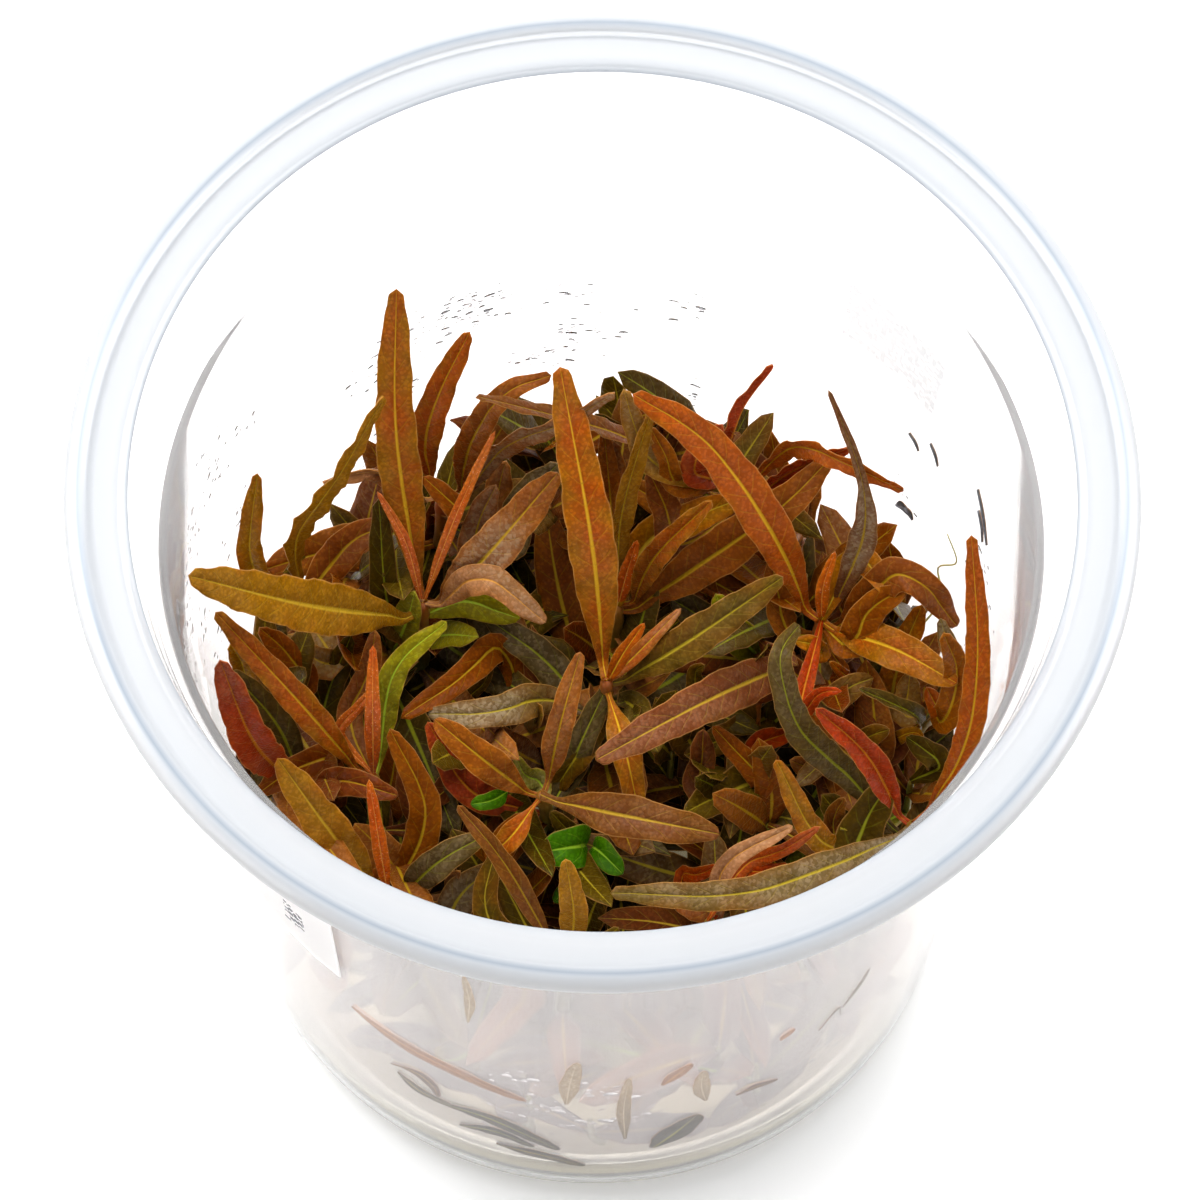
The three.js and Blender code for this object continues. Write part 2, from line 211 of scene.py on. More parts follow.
def arc(radius, height, r, start, end, steps):
    """Points of an arc in a profile, round the point at that radius and height, its angles in degrees."""
    angles = [math.radians(start + (end - start) * i / steps) for i in range(steps + 1)]
    return [(radius + r * math.cos(t), height + r * math.sin(t)) for t in angles]


def body_radius(height):
    """The outer radius of the cup's body at a height, both in millimetres."""
    return BODY_FOOT_RADIUS + WALL_SLOPE * (height - FOOT_CORNER)


def turned_object(name, profile, sides):
    """A closed shape turned about the Z axis, from a profile in millimetres that starts and ends on it."""
    mesh = bpy.data.meshes.new(name)
    ring_profile = profile[1:-1]
    points = [(0, 0, profile[0][1] * MM), (0, 0, profile[-1][1] * MM)]
    for radius, height in ring_profile:
        for k in range(sides):
            t = 2 * math.pi * k / sides
            points.append((radius * MM * math.cos(t), radius * MM * math.sin(t), height * MM))
    faces = []
    for k in range(sides):
        n = (k + 1) % sides
        faces.append((0, 2 + n, 2 + k))
        for i in range(len(ring_profile) - 1):
            a, b = 2 + i * sides, 2 + (i + 1) * sides
            faces.append((a + k, a + n, b + n, b + k))
        last = 2 + (len(ring_profile) - 1) * sides
        faces.append((last + k, last + n, 1))
    mesh.from_pydata(points, [], faces)
    mesh.polygons.foreach_set("use_smooth", [True] * len(mesh.polygons))
    return link(bpy.data.objects.new(name, mesh))


foot_centre = BODY_FOOT_RADIUS - FOOT_CORNER
cup_profile = [
    (0, 0.3), (18, 0.3), (24, 0.25), (30, 0),
    *arc(foot_centre, FOOT_CORNER, FOOT_CORNER, -90, 0, 14),
    *[(body_radius(z), z) for z in BODY_LEVELS],
    (46.05, 94.6), (BODY_TOP_RADIUS + 0.02, 95.6), (46.3, 96.1), (47.1, 96.45), (47.5, 96.8), (47.7, 97.6),
    (48.5, 102), (49.1, 105.6), (49.6, 106.5), (50.6, 106.85),
    *arc(RIM_RADIUS - RIM_EDGE, RIM_HEIGHT - 0.3, RIM_EDGE, -95, 130, 16),
    (RIM_RADIUS - 2.6, 108.12), (RIM_RADIUS - 3.2, RIM_HEIGHT), (50, RIM_HEIGHT), (49.1, 107.95),
    (48.65, 107.7), (MOUTH_RADIUS, 107.2), (47.7, 102.5), (46.75, 97.7), (46.5, 97.05), (45.9, 96.8),
    (45.4, 96.5), (45.15, 95.7),
    *[(body_radius(z) - WALL, z) for z in reversed(BODY_LEVELS)],
    *arc(foot_centre, FOOT_CORNER, FOOT_CORNER - WALL, 0, -90, 14),
    (24, 1.0), (18, 1.15), (0, 1.15),
]
cup = turned_object("clear_cup", cup_profile, CUP_SIDES)


def place_on(tree):
    """The place on a piece, in metres, for a pattern in its material."""
    return add(tree, "ShaderNodeTexCoord").outputs["Object"]


def part_of(tree, vector, axis):
    """One of the three parts of a vector."""
    return add(tree, "ShaderNodeSeparateXYZ", {"Vector": vector}).outputs[axis]


def clouds(tree, place, scale, detail=2):
    """A soft random pattern of values."""
    return add(tree, "ShaderNodeTexNoise", {"Vector": place, "Scale": scale, "Detail": detail}).outputs["Fac"]


def streaks(tree, stretch, detail):
    """A random pattern of upright streaks."""
    place = add(tree, "ShaderNodeMapping", {"Vector": place_on(tree), "Scale": stretch}).outputs["Vector"]
    return clouds(tree, place, 1.0, detail)


def ramp(tree, amount, stops):
    """The colour at an amount, between colours that are each set at a place from 0 to 1."""
    node = add(tree, "ShaderNodeValToRGB", {"Fac": amount})
    elements = node.color_ramp.elements
    while len(elements) < len(stops):
        elements.new(0.5)
    for element, (place, colour) in zip(elements, stops):
        element.position = place
        element.color = colour
    return node.outputs["Color"]


clear_plastic, tree, shader = new_material("clear cup plastic")
up_wall = ranged(tree, part_of(tree, place_on(tree), "Z"), 0, BODY_TOP * MM)
tint = ramp(tree, up_wall, [(level / BODY_TOP, srgb(code)) for level, code in WALL_TINT])
haze = ranged(tree, streaks(tree, STREAK_STRETCH, 4), 0.4, 0.75, CLEAR_ROUGHNESS, HAZY_ROUGHNESS)
feed(tree, shader, {"Base Color": tint, "Roughness": haze, "Transmission Weight": 0.87, "IOR": 1.12})

milky_plastic, tree, shader = new_material("milky rim plastic")
flat = add(tree, "ShaderNodeVectorMath", {0: place_on(tree), 1: (1, 1, 0)}, operation="MULTIPLY")
from_axis = add(tree, "ShaderNodeVectorMath", {0: flat.outputs["Vector"]}, operation="LENGTH")
inmost, outmost = RIM_TINT_AND_SHADE[0][0], RIM_TINT_AND_SHADE[-1][0]
across_rim = ranged(tree, from_axis.outputs["Value"], inmost * MM, outmost * MM)
rim_stops = [((radius - inmost) / (outmost - inmost), srgb(code)) for radius, code in RIM_TINT_AND_SHADE]
feed(tree, shader, {"Base Color": ramp(tree, across_rim, rim_stops), "Roughness": 0.4,
                    "Transmission Weight": 0.4, "IOR": 1.3})

cup.data.materials.append(clear_plastic)
cup.data.materials.append(milky_plastic)
for face in cup.data.polygons:
    if face.center.z > (RIM_HEIGHT - MILKY_DEPTH) * MM:
        face.material_index = 1
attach(cup, "root")
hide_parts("cup")


# Jelly: a shallow layer of clear, slightly grey nutrient gel that has set in the foot of the cup and creeps
# a little way up the wall. It is turned from its profile, its top a little uneven in rings round the middle.
JELLY_TOP = 11
JELLY_GAP = 0.3
JELLY_SIDES = 96

jelly_corner = FOOT_CORNER - WALL - JELLY_GAP
jelly_profile = [
    (0, FOOT_CORNER - jelly_corner),
    *arc(foot_centre, FOOT_CORNER, jelly_corner, -90, 0, 12),
    (41.0, JELLY_TOP + 0.8), (40.6, JELLY_TOP + 0.75), (39.8, JELLY_TOP + 0.35), (38.4, JELLY_TOP + 0.05),
    (36, JELLY_TOP - 0.1), (28, JELLY_TOP), (18, JELLY_TOP - 0.15), (9, JELLY_TOP + 0.1), (0, JELLY_TOP),
]
jelly = turned_object("nutrient_jelly", jelly_profile, JELLY_SIDES)
jelly_gel, tree, shader = new_material("nutrient jelly")
feed(tree, shader, {"Base Color": srgb("e6e2d2"), "Roughness": 0.12, "Transmission Weight": 1, "IOR": 1.34})
jelly.data.materials.append(jelly_gel)
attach(jelly, "root")
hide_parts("jelly")


# Stickers: two thin white film labels on the outside of the cup, curved with its wall. Each has a small
# patch of plain dots, as a generic code. A row gives the patch's middle and half size in metres, its colour
# and the film's. The back one's film is painted grey and its dots pale: painted shade, for the wall that it
# is seen through.
DOT_SIZE = 0.0005
STICKER_LOOK = {
    "front_sticker": (Vector((-0.0318, -0.0345, 0.0655)), (0.0011, 0.0040, 0.0030), "3c4048", "fdfdfe"),
    # The back sticker's greyer film and paler dots are painted shade.
    "back_sticker": (Vector((0.0315, 0.0325, 0.0770)), (0.0056, 0.0056, 0.0058), "82868c", "cfd2d4"),
}


def mixed(tree, amount, a, b, blend="MIX"):
    """One colour mixed with another by an amount."""
    return add(tree, "ShaderNodeMix", {0: amount, 6: a, 7: b}, data_type="RGBA", blend_type=blend).outputs[2]


for sticker_name, (mark_place, mark_half, mark_code, film_code) in STICKER_LOOK.items():
    film, tree, shader = new_material(sticker_name + " film")
    from_mark = add(tree, "ShaderNodeMapping", {"Vector": place_on(tree), "Location": mark_place},
                    vector_type="TEXTURE").outputs["Vector"]
    cell = add(tree, "ShaderNodeVectorMath", {0: from_mark, 1: (DOT_SIZE,) * 3}, operation="SNAP")
    chances = add(tree, "ShaderNodeTexWhiteNoise", {"Vector": cell.outputs["Vector"]})
    dots = worked(tree, "GREATER_THAN", chances.outputs["Value"])
    for axis, half in zip("XYZ", mark_half):
        near = add(tree, "ShaderNodeMath", {0: part_of(tree, from_mark, axis), 1: 0, 2: half},
                   operation="COMPARE")
        dots = worked(tree, "MULTIPLY", near.outputs["Value"], dots)
    feed(tree, shader, {"Base Color": mixed(tree, dots, srgb(film_code), srgb(mark_code)), "Roughness": 0.6,
                        "Specular IOR Level": 0.2, "Subsurface Weight": 1, "Subsurface Radius": (1, 1, 1),
                        "Subsurface Scale": 0.006})
    nodes[sticker_name].data.materials.clear()
    nodes[sticker_name].data.materials.append(film)


# Stems: thin juicy stems that stand in the jelly in clumps, fork near the foot and carry opposite leaves.
# They are olive below and copper-red at the crown. Each is a tube along its own curve, a little thicker at
# each leaf joint.
STEM_RADIUS = 1
CLUMPS = {
    "left_back_stems": ((-23, 16), {"a": (-20, 12, 50), "k": (-18, 24, 54), "q": (-34, 13, 46)}),
    "middle_stems": ((0, 5), {"b": (1, 3, 50), "p": (2, 14, 46), "e": (-6, -9, 45)}),
    "right_back_stems": ((25, 13), {"d": (25, 11, 50), "m": (14, 24, 58), "l": (38, 3, 43)}),
    "left_front_stems": ((-27, -9), {"g": (-25, -6, 42), "s": (-33, -5, 40), "h": (-23, -18, 36)}),
    "right_front_stems": ((27, -14), {"f": (36, -10, 42), "j": (13, -21, 38)}),
    "front_stem": ((-3, -28), {"n": (-3, -26, 40)}),
}
STEM_STEPS = 40
STEM_SIDES = 12
STEM_SUNK = 2.0
BEND_PLACE = 0.45
BEND_OUT = 0.3
STEM_TAPER = 0.25
STEM_JOINTS = 6
JOINT_SWELL = 0.25
JOINT_LENGTH = 0.08
STEM_TIP = 0.3
OLIVE_BELOW = 0.012
RED_ABOVE = 0.052
ASIDE = (0.3, 1, 0.2)


def smooth_through(knots, values, places):
    """The values at the given places on a smooth curve through the knots."""
    slopes = np.gradient(values, knots, axis=0)
    i = np.clip(np.searchsorted(knots, places) - 1, 0, len(knots) - 2)
    step = knots[i + 1] - knots[i]
    t = (places - knots[i]) / step
    if values.ndim > 1:
        t, step = t[:, None], step[:, None]
    return ((1 + 2 * t) * (1 - t) ** 2 * values[i] + t * (1 - t) ** 2 * step * slopes[i]
            + t * t * (3 - 2 * t) * values[i + 1] + t * t * (t - 1) * step * slopes[i + 1])


def curve_through(points, steps):
    """Evenly spaced points of a smooth curve through the given ones."""
    points = np.array(points, float)
    knots = np.concatenate([[0], np.cumsum(np.linalg.norm(np.diff(points, axis=0), axis=1))])
    return smooth_through(knots, points, np.linspace(0, knots[-1], steps))


def stem_path(foot, crown):
    """The curve of a stem that leans out from its foot and then turns up to its crown."""
    start = np.array((*foot, JELLY_TOP - STEM_SUNK))
    bend = start + BEND_PLACE * (np.array(crown) - start)
    bend = bend + BEND_OUT * (np.array((crown[0], crown[1], start[2])) - bend)
    return curve_through([start, bend, crown], STEM_STEPS)


def tube(path, radii, sides):
    """Vertices and faces of a closed tube along a path in millimetres."""
    along = np.gradient(path, axis=0)
    along /= np.linalg.norm(along, axis=1)[:, None]
    across = np.cross(along, ASIDE)
    across /= np.linalg.norm(across, axis=1)[:, None]
    other = np.cross(along, across)
    turns = np.linspace(0, 2 * math.pi, sides, endpoint=False)
    rings = (path[:, None] + radii[:, None, None] * (np.cos(turns)[None, :, None] * across[:, None]
                                                     + np.sin(turns)[None, :, None] * other[:, None]))
    vertices = np.concatenate([rings.reshape(-1, 3), path[:1], path[-1:]])
    count = len(path) * sides
    faces = []
    for k in range(sides):
        n = (k + 1) % sides
        faces += [(i + k, i + n, i + sides + n, i + sides + k) for i in range(0, count - sides, sides)]
        faces += [(count, n, k), (count + 1, count - sides + k, count - sides + n)]
    return vertices, faces


def smooth_object(name, vertices, faces, material):
    """A smooth object of one material from vertices in metres."""
    mesh = bpy.data.meshes.new(name)
    mesh.from_pydata(vertices, [], faces)
    mesh.polygons.foreach_set("use_smooth", [True] * len(faces))
    mesh.materials.append(material)
    return link(bpy.data.objects.new(name, mesh))


def tubes_object(name, tubes, material):
    """One object of several tubes."""
    vertices, faces = [], []
    for more, more_faces in tubes:
        faces += [tuple(i + len(vertices) for i in face) for face in more_faces]
        vertices += (more * MM).tolist()
    return smooth_object(name, vertices, faces, material)


stem_paths = {shoot: stem_path(foot, crown)
              for foot, shoots in CLUMPS.values() for shoot, crown in shoots.items()}

stem_skin, tree, shader = new_material("stem skin")
up_stem = ranged(tree, part_of(tree, place_on(tree), "Z"), OLIVE_BELOW, RED_ABOVE)
stem_colour = ramp(tree, up_stem, [(0, srgb("8a8b3a")), (0.55, srgb("6f6a1c")), (1, srgb("8f4216"))])
feed(tree, shader, {"Base Color": stem_colour, "Roughness": 0.4, "Subsurface Weight": 0.3,
                    "Subsurface Radius": (1, 0.5, 0.2), "Subsurface Scale": 0.001})

up_way = np.linspace(0, 1, STEM_STEPS)
joints = np.exp(-((np.mod(up_way * STEM_JOINTS, 1) - 0.5) / JOINT_LENGTH) ** 2)
radii = STEM_RADIUS * (1.0 - STEM_TAPER * up_way) * (1 + JOINT_SWELL * joints)
radii[-1] = STEM_TIP
for clump_name, (foot, shoots) in CLUMPS.items():
    tubes = [tube(stem_paths[shoot], radii, STEM_SIDES) for shoot in shoots]
    stem = tubes_object(clump_name + "_fine", tubes, stem_skin)
    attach(stem, "root")
    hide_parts(clump_name)


# Low shoots: short side shoots that fill the cup between the clumps, thin green-brown stems that carry pairs
# of leaves. They stand all over the jelly, no two close together, and are taller towards the back.
LOW_SHOOTS = 54
LOW_SHOOT_SPACING = 5.2
LOW_SHOOT_REACH = 38
LOW_SHOOT_HEIGHT = 34
LOW_SHOOT_RISE = 0.32
LOW_SHOOT_UNEVEN = 4
LOW_SHOOT_LEAN = 3
LOW_STEM_RADIUS = 0.6
LOW_STEM_TAPER = (1.1, 0.6)
LOW_STEM_TIP = 0.2
LOW_STEM_SIDES = 8

chance = random.Random(11)
low_paths = []
while len(low_paths) < LOW_SHOOTS:
    out, turn = LOW_SHOOT_REACH * math.sqrt(chance.random()), chance.uniform(0, 2 * math.pi)
    x, y = out * math.cos(turn), out * math.sin(turn)
    if any(math.dist((x, y), path[0][:2]) < LOW_SHOOT_SPACING for path in low_paths):
        continue
    top = LOW_SHOOT_HEIGHT + LOW_SHOOT_RISE * y + chance.uniform(-LOW_SHOOT_UNEVEN, LOW_SHOOT_UNEVEN)
    crown = Vector([c + chance.uniform(-LOW_SHOOT_LEAN, LOW_SHOOT_LEAN) for c in (x, y)])
    crown *= min(1, LOW_SHOOT_REACH / crown.length)
    low_paths.append(stem_path((x, y), (*crown, top)))

radii = LOW_STEM_RADIUS * np.linspace(*LOW_STEM_TAPER, STEM_STEPS)
radii[-1] = LOW_STEM_TIP
low_shoots = tubes_object("low_shoots", [tube(path, radii, LOW_STEM_SIDES) for path in low_paths], stem_skin)
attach(low_shoots, "root")


# Leaves: thin lance-shaped blades with a pale midrib, faint side veins, a finely netted skin and a wavy
# margin. Each follows its leaf in the frame, from a narrow stalk that grows out of the stem to a blunt tip.
# A tone is three colours: the blade's, its patches' and its midrib's.
SAME_PLACE = 1e-6
MIDRIB_HEIGHT = 0.7
STALK_FOOT = 1.1
BLADE_THICK = 0.3
BLUNT_TIP = 0.3
TIP_CROWDING = 1.15
LEAST_HALF = 0.05
BLUNT_FROM = 0.7
BLUNT_RUN = 0.25
TIP_ROUNDING = 1.25
LEAST_TIP = 0.6
FURLED_FROM = 0.4
FURL_RUN = 0.25
LAST_PHASE = 6.3
RIPPLE_TURN = 6.283
SMALL_RIPPLE_TURN = 14
RIPPLE_LENGTHS = (4.5, 7.5)
OTHER_SIDE_SHIFT = 0.9
FULL_RIPPLE_HALF = 1.6
PUFF = 0.16
GROOVE = 0.1
GROOVE_WIDTH = 0.09
MARGIN_SWAY = 0.04
MARGIN_THICKNESS = 0.25
KEEL = 0.34
KEEL_WIDTH = 0.12
KEEL_FADE = 0.6
LEAF_ROWS = 44
LEAF_COLUMNS = np.array([-1, -0.95, -0.84, -0.66, -0.44, -0.24, -0.12, -0.05, 0,
                         0.05, 0.12, 0.24, 0.44, 0.66, 0.84, 0.95, 1])
MAP_LENGTH = 40
MOTTLE_SCALE = 260
# Painted sheen: the size of its patches.
PAINTED_SHEEN_SCALE = 90
NET_SCALE = 2700
VEIN_SPACING = 2.6
VEIN_SLANT = 1.25
VEIN_SHOWN = 0.16
MARGIN_SHOWN = 0.45
RIB_SHOWN = 0.85
# Painted shade low in the cup: how dark, and the heights in metres over which it fades.
PAINTED_DEPTH_SHADE = 0.62
PAINTED_SHADE_HEIGHTS = (0.018, 0.046)
# Painted light and shade on the facets of the net and on its lines.
SHADED_FACET_TINT = (0.78, 0.75, 0.66, 1)
LIT_FACET_TINT = (1.08, 1.08, 1.05, 1)
NET_SHADE = (0.76, 0.73, 0.66, 1)
# Painted sheen: its grey-beige colour, which stands in for light that the wet leaves reflect.
PAINTED_SHEEN_COLOUR = "948266"
MARGIN_COLOUR = "c08a4a"
GLAND_COLOUR = "e8b48a"
TONES = {
    "amber": ("994403", "895703", "c49a20"), "umber": ("773903", "864803", "ac8818"),
    "gold": ("916103", "985003", "bf9c2a"), "olive": ("544008", "664006", "a48f22"),
    "forest": ("402f03", "4d3803", "8a8c1e"), "crimson": ("912b03", "973d02", "ba761c"),
    "plum": ("683313", "6a3d09", "ac8c26"), "rose": ("a06b44", "905722", "c58a3a"),
    "ochre": ("622803", "6c3403", "ac841a"), "lime": ("797105", "847908", "a2bc34"),
}

leaf_skin = bpy.data.node_groups.new("leaf skin", "ShaderNodeTree")
for name, way, kind in (("Blade", "INPUT", "Color"), ("Second", "INPUT", "Color"), ("Rib", "INPUT", "Color"),
                        ("Dots", "INPUT", "Float"), ("Color", "OUTPUT", "Color"),
                        ("Roughness", "OUTPUT", "Float"), ("Height", "OUTPUT", "Float")):
    leaf_skin.interface.new_socket(name, in_out=way, socket_type="NodeSocket" + kind)
given = add(leaf_skin, "NodeGroupInput").outputs


def skin(operation, *values):
    """What a Math node makes of one or two values in the leaf skin."""
    return worked(leaf_skin, operation, *values)


def eased(value, low, high, start, end):
    """A value of the leaf skin that runs softly from start to end while another one runs from low to high."""
    return ranged(leaf_skin, value, low, high, start, end, "SMOOTHSTEP")


def stored(tree, attribute):
    """A value that a mesh keeps for each of its vertices."""
    return add(tree, "ShaderNodeAttribute", attribute_name=attribute).outputs["Fac"]


coords = add(leaf_skin, "ShaderNodeTexCoord").outputs
along_mm = skin("MULTIPLY", part_of(leaf_skin, coords["UV"], "X"), MAP_LENGTH)
across = skin("ABSOLUTE", skin("SUBTRACT", skin("MULTIPLY", part_of(leaf_skin, coords["UV"], "Y"), 2), 1))
mottle = clouds(leaf_skin, coords["Object"], MOTTLE_SCALE, 3)
net = add(leaf_skin, "ShaderNodeTexVoronoi", {"Vector": coords["Object"], "Scale": NET_SCALE}).outputs
facet = net["Color"]

rib = eased(skin("SUBTRACT", across, eased(stored(leaf_skin, "along"), 0, 1, 0.1, 0.02)), -0.03, 0.05, 1, 0)
phase = skin("ADD", skin("DIVIDE", along_mm, VEIN_SPACING), skin("MULTIPLY", mottle, 0.5))
phase = skin("SUBTRACT", phase, skin("MULTIPLY", across, VEIN_SLANT))
off_vein = skin("ABSOLUTE", skin("SUBTRACT", skin("FRACT", phase), 0.5))
vein = skin("MULTIPLY", eased(off_vein, 0, 0.075, 1, 0), eased(across, 0.6, 0.9, 1, 0))
net_line = eased(net["Distance"], 0.42, 0.72, 0, 1)
margin = eased(across, 0.93, 0.99, 0, 1)

change = skin("ADD", skin("MULTIPLY", mottle, 1.1), skin("SUBTRACT", stored(leaf_skin, "tone"), 0.85))
change = skin("ADD", change, skin("MULTIPLY", across, 0.3))
blade = mixed(leaf_skin, eased(change, 0, 0.7, 0, 1), given["Blade"], given["Second"])
# Painted light and shade on the netted skin: each facet is made a little lighter or darker at random, and the
# net's lines, which the bump sinks as grooves, are darker.
painted_facet_light = mixed(leaf_skin, eased(facet, 0.3, 0.7, 0, 1), SHADED_FACET_TINT, LIT_FACET_TINT)
netted = mixed(leaf_skin, net_line, painted_facet_light, NET_SHADE)
# Painted shade: the colour darkens towards black low in the cup, where the clump above shades the leaves.
painted_shade_low_down = eased(part_of(leaf_skin, coords["Object"], "Z"), *PAINTED_SHADE_HEIGHTS, PAINTED_DEPTH_SHADE, 0)
shade = mixed(leaf_skin, painted_shade_low_down, netted, (0, 0, 0, 1))
shaded = mixed(leaf_skin, 1, blade, shade, "MULTIPLY")
# Painted sheen: patches of grey-beige mixed into the colour, strongest on some facets and towards the midrib,
# stand in for light that the wet leaf reflects.
painted_sheen_patches = eased(clouds(leaf_skin, coords["Object"], PAINTED_SHEEN_SCALE), 0.35, 0.6, 0.2, 1)
painted_sheen_amount = skin("MULTIPLY", skin("MULTIPLY", stored(leaf_skin, "painted_sheen"), painted_sheen_patches),
            skin("MULTIPLY", eased(across, 0.6, 1, 1, 0.3), eased(facet, 0.3, 0.75, 0.45, 1.1)))
with_painted_sheen = mixed(leaf_skin, painted_sheen_amount, shaded, srgb(PAINTED_SHEEN_COLOUR))
veined = mixed(leaf_skin, skin("MULTIPLY", vein, VEIN_SHOWN), with_painted_sheen, given["Rib"])
edged = mixed(leaf_skin, skin("MULTIPLY", margin, MARGIN_SHOWN), veined, srgb(MARGIN_COLOUR))
ribbed = mixed(leaf_skin, skin("MULTIPLY", rib, RIB_SHOWN), edged, given["Rib"])
pale = skin("MULTIPLY", eased(net["Distance"], 0.05, 0.22, 0.7, 0), given["Dots"])
relief = skin("SUBTRACT", skin("MULTIPLY", net["Distance"], -0.5), skin("MULTIPLY", vein, 0.35))
feed(leaf_skin, add(leaf_skin, "NodeGroupOutput"), {
    "Color": mixed(leaf_skin, pale, ribbed, srgb(GLAND_COLOUR)),
    "Roughness": eased(mottle, 0.3, 0.7, 0.26, 0.42),
    "Height": skin("ADD", relief, skin("MULTIPLY", pale, 0.3))})


def leaf_material(tone, dots=0.0):
    """The material of a tone of leaf: the leaf skin in its colours, with more or less of the pale dots."""
    blade, second, rib = (srgb(code) for code in TONES[tone])
    material, tree, shader = new_material(f"{tone} leaf" + (" young" if dots else ""))
    look = add(tree, "ShaderNodeGroup", node_tree=leaf_skin)
    feed(tree, look, {"Blade": blade, "Second": second, "Rib": rib, "Dots": dots})
    bump = add(tree, "ShaderNodeBump", {"Height": look.outputs["Height"], "Strength": 0.7,
                                       "Distance": 0.0002})
    feed(tree, shader, {"Base Color": look.outputs["Color"], "Roughness": look.outputs["Roughness"],
                        "Specular IOR Level": 0.06, "Normal": bump.outputs["Normal"]})
    return material


leaf_materials = {tone: leaf_material(tone) for tone in TONES}


def leaf_stations(node):
    """From a leaf's solid, ring by ring from its stalk: midrib, side way, up way, half width, edge lift."""
    shape = bmesh.new()
    shape.from_mesh(node.data)
    bmesh.ops.remove_doubles(shape, verts=shape.verts, dist=SAME_PLACE)
    corners = [v for v in shape.verts if len(v.link_edges) == 4]
    tip = max(corners, key=lambda v: min((v.co - w.co).length for w in corners if w is not v))
    rings, seen, level = [], {tip}, [tip]
    while level:
        level = [w for v in level for w in (e.other_vert(v) for e in v.link_edges)
                 if w not in seen and not seen.add(w)]
        if level:
            rings.append(level)
    rings.reverse()

    def edge_pair(ring, direction):
        """The two vertices of a ring that lie furthest apart along a direction, in that order."""
        a, b = max(combinations(ring, 2), key=lambda pair: abs((pair[0].co - pair[1].co).dot(direction)))
        return (a, b) if (a.co - b.co).dot(direction) > 0 else (b, a)

    spans = [max((a.co - b.co).length for a, b in combinations(ring, 2)) for ring in rings]
    wide = spans.index(max(spans))
    a, b = max(combinations(rings[wide], 2), key=lambda pair: (pair[0].co - pair[1].co).length)
    edges = {wide: edge_pair(rings[wide], a.co - b.co)}
    for i in [*range(wide + 1, len(rings)), *range(wide - 1, -1, -1)]:
        near = edges[i - 1 if i > wide else i + 1]
        edges[i] = edge_pair(rings[i], near[0].co - near[1].co)
    centres = [sum((v.co for v in ring), Vector()) / 4 for ring in rings] + [tip.co.copy()]
    stations = []
    for i, ring in enumerate(rings):
        edge = edges[i]
        middle = (edge[0].co + edge[1].co) / 2
        upper, under = sorted((v for v in ring if v not in edge), key=lambda v: (v.co - middle).length)
        midrib = MIDRIB_HEIGHT * upper.co + (1 - MIDRIB_HEIGHT) * under.co
        above = (upper.co - under.co).normalized()
        side = (edge[0].co - edge[1].co).normalized()
        along = (centres[i + 1] - centres[max(i - 1, 0)]).normalized()
        if side.cross(along).dot(above) < 0:
            side = -side
        half = (edge[0].co - edge[1].co).length / 2
        stations.append((midrib / MM, side, above, half / MM, (middle - midrib).length / MM))
    stations.append((tip.co / MM, stations[-1][1], stations[-1][2], 0, 0))
    shape.free()
    return stations


def sheet_faces(rows, count):
    """The broad and the narrow faces of a closed thin sheet whose two sides are grids of vertices."""
    under = rows * count
    broad, narrow = [], []
    for i in range(rows - 1):
        left, right = i * count, i * count + count - 1
        for q in range(left, right):
            broad.append((q, q + 1, q + count + 1, q + count))
            broad.append((under + q, under + q + count, under + q + count + 1, under + q + 1))
        narrow.append((left, left + count, under + left + count, under + left))
        narrow.append((right, under + right, under + right + count, right + count))
    for near in range(count - 1):
        far = under - count + near
        narrow.append((near, under + near, under + near + 1, near + 1))
        narrow.append((far, far + 1, under + far + 1, under + far))
    return broad, narrow


